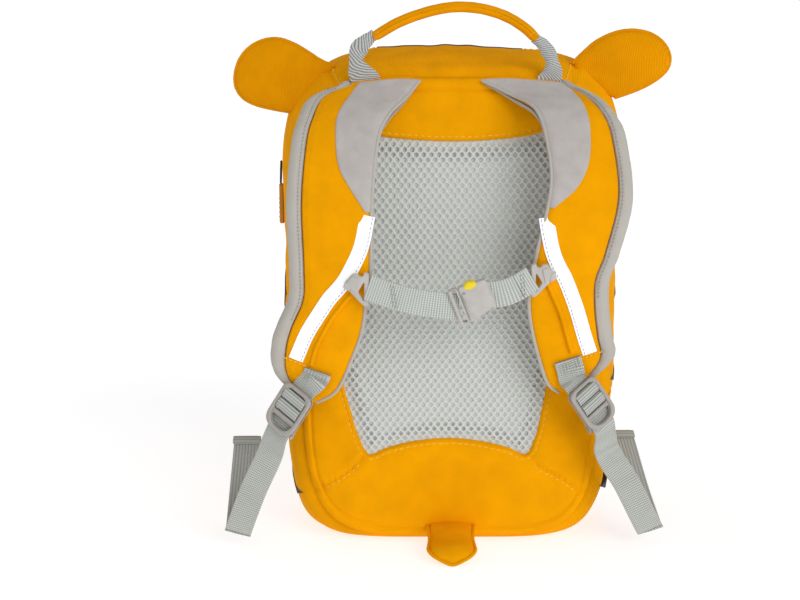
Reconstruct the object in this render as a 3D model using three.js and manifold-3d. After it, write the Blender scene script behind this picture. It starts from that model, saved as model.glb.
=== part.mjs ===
// A small child's backpack with ears and a tail, standing on its bottom with the harness side in front.
// Millimetres, +Z up. The wearer's side faces -Y, and X = 0 is the middle of the bag.
// The origin is the middle of the flat bottom.
import * as THREE from 'three';
import { mergeVertices } from 'three/addons/utils/BufferGeometryUtils.js';
import Module from 'manifold-3d';

// Driving dimensions

const GAP = 0.3;
const CLOTH = 2;
const BAG = { width: 240, height: 350, backSeam: -70, frontSeam: 56, topPower: 4, settle: 1.6 };
const BACK = { thick: 4, crown: 5 };
const FRONT = { crown: 17 };
const ZIP = { width: 9, place: 0.66, inset: 0.8, end: 0.3 };
const SPACER = { thick: 3 };
const STRIPE = { thick: 0.8 };
const EAR = { length: 60, width: 52, thick: 13, edge: 3.5 };
const TAIL = { length: 50, width: 35, thick: 14 };
const STRAP = { thick: 9, pad: 4.6, crown: 1.6, roll: 11, rise: 41, rollBack: 7 };
const SUEDE = { thick: 1.2 };
const TAPE = { width: 10, thick: 0.7 };
const RAIL = { radius: 1.5 };
const WEB = { width: 20, thick: 1.2 };
const CHEST = { width: 20, thick: 2 };
const GRIP = { radius: 3.6 };
const LOCK = { edge: 2.6, thick: 3, side: 0.5, corner: 5, ringInset: 1.5, ringCorner: 2.6 };
const CLIP = { thick: 3, ring: 4.2 };
const BUCKLE = { length: 27, height: 24, thick: 9, tongue: 7, button: 4.4 };
const SLIDER = { length: 10, width: 8, thick: 3 };
const PULL = { cord: 0.9, cordLength: 16, width: 5, length: 30, thick: 3.4 };

const COLOURS = {
  yellow: [0xf5a20c, 0.85, 0],
  grip: [0xf0a010, 0.8, 0],
  spacer: [0xbdc0bc, 0.9, 0],
  suede: [0xb9b5b2, 0.95, 0],
  lining: [0xaaa59c, 0.85, 0],
  webbing: [0xa4a7a1, 0.8, 0],
  plastic: [0xa39e97, 0.45, 0],
  button: [0xf0d414, 0.4, 0],
  dark: [0x5e5e62, 0.8, 0],
  reflective: [0xe8edf3, 0.3, 0],
  pull: [0xc98a10, 0.6, 0],
};

// How the outline draws in from its widest section, from the back seam to the front seam.
// along: share of the way between the seams. side, top, bottom: shares of the bag's width and height.
const GIRTH = [
  { along: 0.0, side: 0.062, top: 0.057, bottom: 0.018, corner: 5 },
  { along: 0.1, side: 0.03, top: 0.034, bottom: 0.006, corner: 6.5 },
  { along: 0.25, side: 0.008, top: 0.012, bottom: 0.0, corner: 8 },
  { along: 0.5, side: 0.0, top: 0.0, bottom: 0.0, corner: 9 },
  { along: 0.75, side: 0.01, top: 0.012, bottom: 0.0, corner: 8 },
  { along: 0.92, side: 0.04, top: 0.045, bottom: 0.004, corner: 6 },
  { along: 1.0, side: 0.075, top: 0.08, bottom: 0.02, corner: 5 },
];

// Spacer mesh panel. height: share of its height. left, right: shares of half the bag's width.
const SPACER_ROWS = [
  { height: 0.0, left: -0.51, right: 0.47 },
  { height: 0.12, left: -0.575, right: 0.52 },
  { height: 0.24, left: -0.635, right: 0.56 },
  { height: 0.45, left: -0.68, right: 0.63 },
  { height: 0.7, left: -0.68, right: 0.65 },
  { height: 0.9, left: -0.63, right: 0.62 },
  { height: 1.0, left: -0.57, right: 0.57 },
];
const SPACER_SPAN = { low: 0.187, high: 0.84, lowArch: 0.038, highSag: 0.018 };

// Shoulder straps from the top seam to the lower end. inner, outer: the edges across, as shares of
// half the bag's width. innerHigh, outerHigh: their heights, as shares of the bag's height.
// lift: share of the rise off the back. pad: share of the strap's thickness.
const STRAP_ROWS = {
  left: [
    { inner: -0.183, innerHigh: 0.94, outer: -0.675, outerHigh: 0.926, lift: -0.022, pad: 0.34 },
    { inner: -0.258, innerHigh: 0.911, outer: -0.817, outerHigh: 0.909, lift: 0.2, pad: 0.6 },
    { inner: -0.358, innerHigh: 0.88, outer: -0.875, outerHigh: 0.871, lift: 0.54, pad: 0.9 },
    { inner: -0.417, innerHigh: 0.834, outer: -0.908, outerHigh: 0.823, lift: 0.78, pad: 1.0 },
    { inner: -0.45, innerHigh: 0.72, outer: -0.933, outerHigh: 0.717, lift: 1.0, pad: 1.0 },
    { inner: -0.458, innerHigh: 0.586, outer: -0.925, outerHigh: 0.586, lift: 0.95, pad: 1.0 },
    { inner: -0.483, innerHigh: 0.526, outer: -0.933, outerHigh: 0.526, lift: 0.88, pad: 1.0 },
    { inner: -0.508, innerHigh: 0.466, outer: -1.0, outerHigh: 0.471, lift: 0.78, pad: 1.0 },
    { inner: -0.558, innerHigh: 0.414, outer: -1.033, outerHigh: 0.434, lift: 0.66, pad: 1.0 },
    { inner: -0.625, innerHigh: 0.357, outer: -1.042, outerHigh: 0.394, lift: 0.54, pad: 0.95 },
    { inner: -0.683, innerHigh: 0.329, outer: -1.008, outerHigh: 0.363, lift: 0.47, pad: 0.85 },
    { inner: -0.775, innerHigh: 0.311, outer: -0.925, outerHigh: 0.334, lift: 0.43, pad: 0.7 },
  ],
  right: [
    { inner: 0.158, innerHigh: 0.94, outer: 0.708, outerHigh: 0.929, lift: -0.022, pad: 0.34 },
    { inner: 0.308, innerHigh: 0.917, outer: 0.833, outerHigh: 0.909, lift: 0.2, pad: 0.6 },
    { inner: 0.433, innerHigh: 0.897, outer: 0.908, outerHigh: 0.88, lift: 0.54, pad: 0.9 },
    { inner: 0.492, innerHigh: 0.851, outer: 0.958, outerHigh: 0.834, lift: 0.78, pad: 1.0 },
    { inner: 0.525, innerHigh: 0.754, outer: 0.992, outerHigh: 0.723, lift: 1.0, pad: 1.0 },
    { inner: 0.458, innerHigh: 0.629, outer: 0.933, outerHigh: 0.62, lift: 0.95, pad: 1.0 },
    { inner: 0.425, innerHigh: 0.566, outer: 0.883, outerHigh: 0.566, lift: 0.88, pad: 1.0 },
    { inner: 0.417, innerHigh: 0.514, outer: 0.883, outerHigh: 0.514, lift: 0.78, pad: 1.0 },
    { inner: 0.442, innerHigh: 0.46, outer: 0.908, outerHigh: 0.449, lift: 0.66, pad: 1.0 },
    { inner: 0.492, innerHigh: 0.397, outer: 0.933, outerHigh: 0.409, lift: 0.54, pad: 0.95 },
    { inner: 0.542, innerHigh: 0.351, outer: 0.875, outerHigh: 0.38, lift: 0.47, pad: 0.85 },
    { inner: 0.608, innerHigh: 0.331, outer: 0.808, outerHigh: 0.363, lift: 0.43, pad: 0.7 },
  ],
};

// Suede shoulder patches: row is a row of the strap's table, reach the share of its width covered.
const SUEDE_ROWS = {
  left: [
    { row: 0, reach: 0.7 }, { row: 1, reach: 0.57 }, { row: 2, reach: 0.55 }, { row: 3, reach: 0.48 },
    { row: 3.5, reach: 0.4 }, { row: 3.85, reach: 0.24 }, { row: 4.15, reach: 0.08 },
  ],
  right: [
    { row: 0, reach: 0.85 }, { row: 1, reach: 0.71 }, { row: 2, reach: 0.61 }, { row: 3, reach: 0.54 },
    { row: 3.5, reach: 0.47 }, { row: 4, reach: 0.3 }, { row: 4.35, reach: 0.08 },
  ],
};

// Lines that run along the straps: row of the strap's table, and share across from the inner edge.
const TAPE_LINE = {
  left: [
    { row: 4.3, across: 0.11 }, { row: 4.6, across: 0.17 }, { row: 5, across: 0.345 },
    { row: 6, across: 0.54 }, { row: 7, across: 0.65 }, { row: 8, across: 0.68 }, { row: 8.45, across: 0.68 },
  ],
  right: [
    { row: 4.5, across: 0.11 }, { row: 5, across: 0.27 }, { row: 6, across: 0.5 },
    { row: 7, across: 0.6 }, { row: 8, across: 0.65 }, { row: 8.7, across: 0.67 },
  ],
};
const RAIL_LINE = {
  left: [
    { row: 5.3, across: 0.1 }, { row: 6, across: 0.27 }, { row: 6.6, across: 0.39 },
    { row: 7.6, across: 0.46 }, { row: 8.5, across: 0.46 },
  ],
  right: [
    { row: 5.6, across: 0.1 }, { row: 6, across: 0.2 }, { row: 7, across: 0.36 },
    { row: 7.8, across: 0.42 }, { row: 8.6, across: 0.44 },
  ],
};

// Dark stripes on the sides. low, high: shares of the bag's height at the wide end, by the zip.
// point: height where the stripe runs out towards the back. reach: share of the way from the back seam.
const SIDE_STRIPES = {
  left: [
    { low: 0.42, high: 0.56, point: 0.5, reach: 0.24 },
    { low: 0.05, high: 0.14, point: 0.085, reach: 0.06 },
  ],
  right: [
    { low: 0.44, high: 0.54, point: 0.5, reach: 0.24 },
    { low: 0.28, high: 0.36, point: 0.33, reach: 0.12 },
    { low: 0.06, high: 0.15, point: 0.1, reach: 0.06 },
  ],
};
const TOP_STRIPE = { halfWidth: 54, from: 0.47, to: 0.6 };

// Ears: root on the shoulder seam and axis to the tip, as shares of half the width and the height.
const EAR_PLACE = {
  left: { rootX: -0.78, rootZ: 0.915, tipX: -1.29, tipZ: 0.945 },
  right: { rootX: 0.79, rootZ: 0.93, tipX: 1.31, tipZ: 0.975 },
  depth: 0.36,
};
// along: share of the ear's length. half: share of half its width.
const EAR_ROWS = [
  { along: 0.0, half: 0.72 }, { along: 0.12, half: 0.86 }, { along: 0.3, half: 0.97 }, { along: 0.5, half: 1.0 },
  { along: 0.7, half: 0.9 }, { along: 0.86, half: 0.66 }, { along: 0.96, half: 0.36 }, { along: 1.0, half: 0.1 },
];

// Tail: from the seam under the back panel to its rounded end.
const TAIL_ROWS = [
  { along: 0.0, half: 0.98, thick: 0.55, high: 1.0 }, { along: 0.25, half: 0.96, thick: 0.8, high: 0.66 },
  { along: 0.5, half: 0.92, thick: 0.95, high: 0.16 }, { along: 0.72, half: 1.0, thick: 1.0, high: 0.0 },
  { along: 0.9, half: 0.8, thick: 0.85, high: 0.0 }, { along: 1.0, half: 0.3, thick: 0.35, high: 0.0 },
];

// Haul loop, as shares of half the bag's width and of its height.
const HANDLE_LINE = [
  { x: -0.45, z: 1.022 }, { x: -0.3, z: 1.051 }, { x: -0.13, z: 1.071 }, { x: 0.01, z: 1.079 },
  { x: 0.15, z: 1.076 }, { x: 0.29, z: 1.062 }, { x: 0.4, z: 1.04 }, { x: 0.47, z: 1.018 },
];
const HANDLE_ENDS = {
  left: [
    { x: -0.495, z: 0.9355, wide: 1.1, out: 0 }, { x: -0.54, z: 0.968, wide: 0.8, out: -3 },
    { x: -0.53, z: 0.995, wide: 0.55, out: -4 }, { x: -0.4605, z: 1.0186, wide: 0.36, out: -4 },
  ],
  right: [
    { x: 0.545, z: 0.933, wide: 0.95, out: 0 }, { x: 0.55, z: 0.966, wide: 0.6, out: -3 },
    { x: 0.53, z: 0.992, wide: 0.5, out: -4 }, { x: 0.4765, z: 1.0155, wide: 0.36, out: -4 },
  ],
};

// Ladder locks: top middle of each, and the way it hangs. x in shares of half the bag's width,
// z in shares of its height, out in shares of the straps' rise.
const LOCK_PLACE = {
  left: { x: -0.862, z: 0.333, out: 0.97, axisX: -0.53, axisZ: -0.85 },
  right: { x: 0.7, z: 0.35, out: 0.97, axisX: 0.52, axisZ: -0.85 },
};
// Openings of a ladder lock, from its top edge down.
const LOCK_SLOTS = { top: 3, first: 3.4, bar: 4, middle: 4.8, last: 3.6, ring: 6.5, bottom: 4 };

// Free ends of the harness webbing, below the locks. out: millimetres in front of the back seam.
const TAIL_WEB = {
  left: [
    { x: -1.04, z: 0.2, out: 24 }, { x: -1.12, z: 0.128, out: 20 }, { x: -1.185, z: 0.06, out: 17 },
    { x: -1.2, z: 0.034, out: 13 }, { x: -1.2, z: 0.034, out: 4 }, { x: -1.215, z: 0.09, out: -12 },
    { x: -1.225, z: 0.17, out: -28 },
  ],
  right: [
    { x: 0.86, z: 0.212, out: 24 }, { x: 0.965, z: 0.14, out: 20 }, { x: 1.085, z: 0.062, out: 17 },
    { x: 1.105, z: 0.036, out: 13 }, { x: 1.1, z: 0.036, out: 4 }, { x: 1.07, z: 0.1, out: -12 },
    { x: 1.06, z: 0.185, out: -28 },
  ],
};
// Where the webbing is sewn to the side, and how far its free end turns out of level, in radians.
const WEB_ANCHOR = { left: { x: -0.872, z: 0.17, lean: -0.263 }, right: { x: 0.85, z: 0.17, lean: 0.315 } };

// Chest strap: the clips by row of the strap's table and share across it, the buckle in shares of
// half the width and of the height, and its tilt in radians.
const CHEST_PLACE = {
  left: { row: 5.45, across: 0.13 },
  right: { row: 5.75, across: 0.17 },
  buckle: { x: 0.105, z: 0.532, tilt: 0.38 },
};
const PULL_PLACE = { z: 0.76 };

// Shared geometry

const halfWidth = BAG.width / 2;
const seamDepth = BAG.frontSeam - BAG.backSeam;
const vec = (x, y, z) => new THREE.Vector3(x, y, z);
const wasm = await Module();
wasm.setup();

// Smooth value of one column of a table, whose key column rises from row to row.
function column(rows, key, name, at) {
  const last = rows.length - 1;
  const place = THREE.MathUtils.clamp(at, rows[0][key], rows[last][key]);
  let i = 0;
  while (i < last - 1 && place > rows[i + 1][key]) {
    i += 1;
  }
  const before = rows[Math.max(i - 1, 0)];
  const after = rows[Math.min(i + 2, last)];
  const a = rows[i];
  const b = rows[i + 1];
  const t = (place - a[key]) / (b[key] - a[key]);
  const step = b[key] - a[key];
  const slopeA = (b[name] - before[name]) / (b[key] - before[key] || 1) * step;
  const slopeB = (after[name] - a[name]) / (after[key] - a[key] || 1) * step;
  const t2 = t * t;
  const t3 = t2 * t;
  return (2 * t3 - 3 * t2 + 1) * a[name] + (t3 - 2 * t2 + t) * slopeA
    + (3 * t2 - 2 * t3) * b[name] + (t3 - t2) * slopeB;
}

// A closed body from points and triangles, its faces turned outwards.
function body(points, triangles) {
  const geometry = new THREE.BufferGeometry();
  geometry.setAttribute('position', new THREE.Float32BufferAttribute(points.flatMap((p) => [p.x, p.y, p.z]), 3));
  geometry.setIndex(triangles);
  const merged = mergeVertices(geometry, 1e-3);
  const place = merged.getAttribute('position');
  const index = merged.getIndex().array;
  const kept = [];
  let volume = 0;
  const [a, b, c] = [vec(0, 0, 0), vec(0, 0, 0), vec(0, 0, 0)];
  for (let i = 0; i < index.length; i += 3) {
    const [p, q, r] = [index[i], index[i + 1], index[i + 2]];
    if (p !== q && q !== r && r !== p) {
      a.fromBufferAttribute(place, p);
      b.fromBufferAttribute(place, q);
      c.fromBufferAttribute(place, r);
      volume += a.dot(b.cross(c));
      kept.push(p, q, r);
    }
  }
  if (volume < 0) {
    kept.reverse();
  }
  merged.setIndex(kept);
  return merged;
}

// A sheet between two grids of points, closed along its open edges.
function sheet(front, back, wraps = false) {
  const rows = front.length;
  const cols = front[0].length;
  const points = [...front.flat(), ...back.flat()];
  const triangles = [];
  const quad = (a, b, c, d) => triangles.push(a, b, c, a, c, d);
  const outer = (i, j) => i * cols + (j % cols);
  const inner = (i, j) => rows * cols + outer(i, j);
  const spans = wraps ? cols : cols - 1;
  for (let j = 0; j < spans; j += 1) {
    for (let i = 0; i < rows - 1; i += 1) {
      quad(outer(i, j), outer(i + 1, j), outer(i + 1, j + 1), outer(i, j + 1));
      quad(inner(i, j), inner(i, j + 1), inner(i + 1, j + 1), inner(i + 1, j));
    }
    quad(outer(0, j), outer(0, j + 1), inner(0, j + 1), inner(0, j));
    quad(outer(rows - 1, j), inner(rows - 1, j), inner(rows - 1, j + 1), outer(rows - 1, j + 1));
  }
  if (!wraps) {
    for (let i = 0; i < rows - 1; i += 1) {
      quad(outer(i, 0), inner(i, 0), inner(i + 1, 0), outer(i + 1, 0));
      quad(outer(i, cols - 1), outer(i + 1, cols - 1), inner(i + 1, cols - 1), inner(i, cols - 1));
    }
  }
  return body(points, triangles);
}

// Triangles that fill a flat section, turned the way the section runs.
function endFace(section) {
  const origin = section[0];
  const side = section[1].clone().sub(origin).normalize();
  const turn = vec(0, 0, 0);
  section.forEach((p, i) => {
    const next = section[(i + 1) % section.length];
    turn.add(p.clone().sub(origin).cross(next.clone().sub(origin)));
  });
  const up = turn.normalize().cross(side);
  const flat = section.map((p) => {
    const from = p.clone().sub(origin);
    return new THREE.Vector2(from.dot(side), from.dot(up));
  });
  return THREE.ShapeUtils.triangulateShape(flat, []).map(([a, b, c]) => {
    const area = flat[b].clone().sub(flat[a]).cross(flat[c].clone().sub(flat[a]));
    return area > 0 ? [a, b, c] : [a, c, b];
  });
}

// A body through closed sections with as many points each, with flat ends.
function loft(sections) {
  const count = sections[0].length;
  const points = sections.flat();
  const triangles = [];
  for (let i = 0; i < sections.length - 1; i += 1) {
    for (let j = 0; j < count; j += 1) {
      const a = i * count + j;
      const b = i * count + ((j + 1) % count);
      triangles.push(a, b, b + count, a, b + count, a + count);
    }
  }
  [0, sections.length - 1].forEach((i) => {
    endFace(sections[i]).forEach(([a, b, c]) => {
      const face = [i * count + a, i * count + b, i * count + c];
      triangles.push(...(i === 0 ? face.reverse() : face));
    });
  });
  return body(points, triangles);
}

// Direction of a run of points at one of them.
function heading(points, i) {
  const before = points[Math.max(i - 1, 0)];
  const after = points[Math.min(i + 1, points.length - 1)];
  return after.clone().sub(before).normalize();
}

// A flat band along a run of points. across gives the way its width lies at each point.
function band(points, across, width, thick) {
  const wide = (i) => (typeof width === 'function' ? width(i) : width);
  return loft(points.map((p, i) => {
    const along = heading(points, i);
    const side = across(i).clone().addScaledVector(along, -across(i).dot(along)).normalize();
    const up = along.clone().cross(side);
    const corner = (u, v) => p.clone().addScaledVector(side, u * wide(i) / 2).addScaledVector(up, v * thick / 2);
    return [corner(-1, -1), corner(1, -1), corner(1, 1), corner(-1, 1)];
  }));
}

// A round bar along a run of points.
function bar(points, radius, sides = 8) {
  const curve = new THREE.CatmullRomCurve3(points);
  const circle = new THREE.Shape();
  circle.absarc(0, 0, radius, 0, Math.PI * 2, false);
  return body(...meshOf(new THREE.ExtrudeGeometry(circle, {
    steps: points.length * 2, curveSegments: sides / 2, bevelEnabled: false, extrudePath: curve,
  })));
}

function meshOf(geometry) {
  const place = geometry.getAttribute('position');
  const points = Array.from({ length: place.count }, (_, i) => vec(0, 0, 0).fromBufferAttribute(place, i));
  const index = geometry.getIndex();
  const triangles = index ? Array.from(index.array) : points.map((_, i) => i);
  return [points, triangles];
}

// A plate cut from a flat shape, its middle plane through the origin.
function plate(shape, thick, bevel = 0) {
  const geometry = new THREE.ExtrudeGeometry(shape, {
    depth: thick - 2 * bevel, curveSegments: 4, bevelEnabled: bevel > 0,
    bevelThickness: bevel, bevelSize: bevel, bevelOffset: -bevel, bevelSegments: 1,
  });
  geometry.translate(0, 0, -(thick / 2 - bevel));
  return body(...meshOf(geometry));
}

function roundRect(path, left, low, right, high, radius) {
  path.moveTo(left + radius, low);
  path.lineTo(right - radius, low);
  path.absarc(right - radius, low + radius, radius, -Math.PI / 2, 0, false);
  path.lineTo(right, high - radius);
  path.absarc(right - radius, high - radius, radius, 0, Math.PI / 2, false);
  path.lineTo(left + radius, high);
  path.absarc(left + radius, high - radius, radius, Math.PI / 2, Math.PI, false);
  path.lineTo(left, low + radius);
  path.absarc(left + radius, low + radius, radius, Math.PI, Math.PI * 1.5, false);
  return path;
}

const range = (count) => Array.from({ length: count + 1 }, (_, i) => i / count);

// The bag's outer form

// A point of the skin: angle round the outline (0 is +X, 90 degrees the top) and share of the depth.
function skin(angle, along, inward = 0) {
  const row = (name) => column(GIRTH, 'along', name, along);
  const c = Math.cos(angle);
  const s = Math.sin(angle);
  const power = s > 0 ? BAG.topPower : row('corner');
  const reach = (value) => Math.sign(value) * Math.abs(value) ** (2 / power);
  const half = BAG.height / 2;
  const up = half * (1 - 2 * row('top')) - inward;
  const down = half * (1 - 2 * row('bottom')) + BAG.settle - inward;
  const x = (halfWidth * (1 - 2 * row('side')) - inward) * reach(c);
  const z = half + (s > 0 ? up : down) * reach(s);
  return vec(x, BAG.backSeam + along * seamDepth, Math.max(z, inward));
}

// Outward direction of the skin.
function skinNormal(angle, along) {
  const d = 0.01;
  const round = skin(angle + d, along).sub(skin(angle - d, along));
  const deep = skin(angle, Math.min(along + d, 1)).sub(skin(angle, Math.max(along - d, 0)));
  return deep.cross(round).normalize();
}

// A patch of skin between two angles and two depths, raised and as thick as told.
function skinSheet(angles, depths, lift, thick) {
  const layer = (rise) => depths.map((along) => angles.map((angle) => (
    skin(angle, along).addScaledVector(skinNormal(angle, along), rise))));
  return sheet(layer(lift), layer(lift - thick));
}

// Height on the side of the bag as an angle of the outline.
function angleAt(heightShare, side) {
  const rise = (heightShare - 0.5) * 2;
  const power = rise > 0 ? BAG.topPower : 8;
  const up = Math.sign(rise) * Math.asin(Math.min(Math.abs(rise) ** (power / 2), 1));
  return side === 'right' ? up : Math.PI - up;
}

const spread = (from, to, count) => range(count).map((t) => from + (to - from) * t);

const zipHalf = ZIP.width / 2 / seamDepth;
const seamGap = GAP / seamDepth;
const archEnd = angleAt(ZIP.end, 'right');
const archAngles = spread(archEnd, Math.PI - archEnd, 34);
const archGap = 0.0008;
const bottomAngles = spread(Math.PI - archEnd + archGap, 2 * Math.PI + archEnd - archGap, 22);
const zipBack = ZIP.place - zipHalf;
const zipFront = ZIP.place + zipHalf;
const backDepths = [0.004, 0.1, 0.25, 0.45, zipBack - seamGap];
const frontDepths = [zipFront + seamGap, 0.82, 0.92, 0.996];

function gussets() {
  return {
    gusset_back: skinSheet(archAngles, backDepths, 0, CLOTH),
    zip_tape: skinSheet(archAngles, [zipBack, zipFront], -ZIP.inset, CLOTH - ZIP.inset),
    gusset_front: skinSheet(archAngles, frontDepths, 0, CLOTH),
    gusset_bottom: skinSheet(bottomAngles, [...backDepths, ...frontDepths], 0, CLOTH),
  };
}

// A panel that closes one end of the bag: rings shrink from the seam to the middle.
function endPanel(along, crown, thick, facing) {
  const rings = [0, 0.3, 0.58, 0.8, 0.93, 1];
  const angles = spread(0, 2 * Math.PI, 48).slice(0, -1);
  const seam = BAG.backSeam + along * seamDepth;
  const centre = BAG.height / 2;
  const swell = (r) => 1 - r ** 2.6;
  const layer = (rise) => rings.map((r) => angles.map((angle) => {
    const edge = skin(angle, along);
    return vec(edge.x * r, seam + facing * (crown * swell(r) + rise), centre + (edge.z - centre) * r);
  }));
  return sheet(layer(thick), layer(0), true);
}

// Front of the back panel at a place on it.
function backSurface(x, z) {
  const centre = BAG.height / 2;
  const edge = skin(Math.atan2((z - centre) / centre, x / halfWidth), 0);
  const r = Math.hypot(x, z - centre) / Math.hypot(edge.x, edge.z - centre);
  return BAG.backSeam - BACK.thick - BACK.crown * (1 - Math.min(r, 1) ** 2.6);
}

function spacerPanel() {
  const across = range(8);
  const layer = (rise) => range(9).map((v) => across.map((u) => {
    const left = column(SPACER_ROWS, 'height', 'left', v) * halfWidth;
    const right = column(SPACER_ROWS, 'height', 'right', v) * halfWidth;
    const x = left + (right - left) * u;
    const arch = 4 * u * (1 - u);
    const low = BAG.height * (SPACER_SPAN.low + SPACER_SPAN.lowArch * arch);
    const high = BAG.height * (SPACER_SPAN.high - SPACER_SPAN.highSag * arch);
    const z = low + (high - low) * v;
    return vec(x, backSurface(x, z) - GAP - rise, z);
  }));
  return sheet(layer(SPACER.thick), layer(0));
}

// What two bodies share.
function common(a, b) {
  const solid = (geometry) => {
    const plain = geometry.clone();
    plain.deleteAttribute('normal');
    plain.deleteAttribute('uv');
    const merged = mergeVertices(plain, 1e-3);
    return new wasm.Manifold(new wasm.Mesh({
      numProp: 3,
      vertProperties: merged.getAttribute('position').array,
      triVerts: new Uint32Array(merged.getIndex().array),
    }));
  };
  const mesh = solid(a).intersect(solid(b)).getMesh();
  const geometry = new THREE.BufferGeometry();
  geometry.setAttribute('position', new THREE.BufferAttribute(mesh.vertProperties, 3));
  geometry.setIndex(Array.from(mesh.triVerts));
  return geometry;
}

// A wedge through the side of the bag, cut to a thin layer over the gusset.
function sideStripe(side, row) {
  const onBottom = row.high < ZIP.end;
  const layer = skinSheet(
    onBottom ? bottomAngles : archAngles, onBottom ? [...backDepths, ...frontDepths] : backDepths,
    GAP + STRIPE.thick, STRIPE.thick,
  );
  const back = BAG.backSeam + row.reach * seamDepth;
  const front = BAG.backSeam + (zipBack - 0.01) * seamDepth;
  const high = (share) => share * BAG.height;
  const bend = back + (front - back) * 0.55;
  const outline = new THREE.Shape();
  outline.moveTo(back, high(row.point));
  outline.quadraticCurveTo(bend, high(row.low) + 0.15 * high(row.point - row.low), front, high(row.low));
  outline.lineTo(front, high(row.high));
  outline.quadraticCurveTo(bend, high(row.high) - 0.15 * high(row.high - row.point), back, high(row.point));
  const wedge = new THREE.ExtrudeGeometry(outline, { depth: halfWidth, curveSegments: 5, bevelEnabled: false });
  const start = side === 'right' ? halfWidth * 0.4 : -halfWidth * 1.4;
  wedge.applyMatrix4(new THREE.Matrix4().makeBasis(vec(0, 1, 0), vec(0, 0, 1), vec(1, 0, 0)));
  wedge.translate(start, 0, 0);
  return body(...meshOf(common(layer, wedge)));
}

// A lens across the top of the gusset.
function topStripe() {
  const layer = skinSheet(archAngles, backDepths, GAP + STRIPE.thick, STRIPE.thick);
  const from = BAG.backSeam + TOP_STRIPE.from * seamDepth;
  const to = BAG.backSeam + TOP_STRIPE.to * seamDepth;
  const lens = new THREE.Shape();
  lens.moveTo(-TOP_STRIPE.halfWidth, to);
  lens.quadraticCurveTo(0, 2 * from - to, TOP_STRIPE.halfWidth, to);
  lens.lineTo(-TOP_STRIPE.halfWidth, to);
  const prism = new THREE.ExtrudeGeometry(lens, { depth: BAG.height / 2, curveSegments: 8, bevelEnabled: false });
  prism.translate(0, 0, BAG.height * 0.7);
  return body(...meshOf(common(layer, prism)));
}

// How far along a line from inside the bag its skin lies, with the gap.
function wayOut(start, axis) {
  const along = (start.y - BAG.backSeam) / seamDepth;
  const half = BAG.height / 2;
  const reachX = halfWidth * (1 - 2 * column(GIRTH, 'along', 'side', along));
  const reachZ = half * (1 - 2 * column(GIRTH, 'along', 'top', along));
  const step = 0.1;
  let way = 0;
  let p = start.clone();
  while (Math.abs(p.x / reachX) ** BAG.topPower + Math.abs((p.z - half) / reachZ) ** BAG.topPower < 1) {
    way += step;
    p = start.clone().addScaledVector(axis, way);
  }
  return way + GAP;
}

function ear(side) {
  const place = EAR_PLACE[side];
  const root = vec(place.rootX * halfWidth, BAG.backSeam + EAR_PLACE.depth * seamDepth, place.rootZ * BAG.height);
  const tip = vec(place.tipX * halfWidth, root.y, place.tipZ * BAG.height);
  const axis = tip.clone().sub(root).normalize();
  const wide = vec(-axis.z, 0, axis.x);
  const front = [];
  const back = [];
  EAR_ROWS.forEach((row) => {
    const puff = Math.sin(Math.PI * Math.min(0.25 + row.along * 0.75, 1)) ** 0.6;
    const line = (facing) => spread(-1, 1, 8).map((v) => {
      const swell = (EAR.thick - EAR.edge) / 2 * Math.sqrt(Math.max(1 - v * v, 0)) * puff;
      const start = root.clone().addScaledVector(wide, v * row.half * EAR.width / 2)
        .add(vec(0, facing * (EAR.edge / 2 + swell), 0));
      const seam = wayOut(start, axis);
      return start.addScaledVector(axis, seam + row.along * (EAR.length - seam));
    });
    front.push(line(-1));
    back.push(line(1));
  });
  return sheet(front, back);
}

function tail() {
  const sides = 14;
  const rootHigh = 9;
  const start = BAG.backSeam - BACK.thick - 1.5;
  return loft(TAIL_ROWS.map((row) => {
    const y = start - row.along * TAIL.length;
    const halfHigh = row.thick * TAIL.thick / 2;
    const z = GAP * 2 + halfHigh + row.high * rootHigh;
    return range(sides).slice(0, -1).map((t) => {
      const angle = t * 2 * Math.PI;
      return vec(Math.cos(angle) * row.half * TAIL.width / 2, y, z + Math.sin(angle) * halfHigh);
    });
  }));
}

// Shoulder straps

function strapFrame(side) {
  const rows = STRAP_ROWS[side].map((row, i) => ({ ...row, row: i }));
  const seat = BAG.backSeam - BACK.thick - GAP;
  const value = (name, at) => column(rows, 'row', name, at);
  const thickAt = (at) => value('pad', at) * STRAP.thick;
  const edge = (name, at) => {
    const setBack = name === 'outer' ? STRAP.rollBack * Math.sin(Math.PI * at / (rows.length - 1)) : 0;
    const y = seat - 0.15 - thickAt(at) - value('lift', at) * STRAP.rise + setBack;
    return vec(value(name, at) * halfWidth, y, value(`${name}High`, at) * BAG.height);
  };
  const axes = (at) => {
    const d = 0.15;
    const last = rows.length - 1;
    const middle = (t) => edge('inner', t).add(edge('outer', t)).multiplyScalar(0.5);
    const along = middle(Math.min(at + d, last)).sub(middle(Math.max(at - d, 0))).normalize();
    const across = edge('outer', at).sub(edge('inner', at));
    const width = across.length();
    across.divideScalar(width);
    const out = along.clone().cross(across).normalize();
    if (out.y > 0) {
      out.negate();
    }
    return { along, across, out, width };
  };
  // A point by row of the table, distance from the inner edge and height over the face.
  const point = (at, from, rise) => {
    const { across, out, width } = axes(at);
    const share = from / width;
    const crown = STRAP.crown * 4 * share * (1 - share) * THREE.MathUtils.clamp(1 + rise / thickAt(at), 0, 1);
    return edge('inner', at).addScaledVector(across, from).addScaledVector(out, rise + crown);
  };
  return { point, axes, thickAt, last: rows.length - 1 };
}

const STRAP_STEPS = 20;

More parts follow.
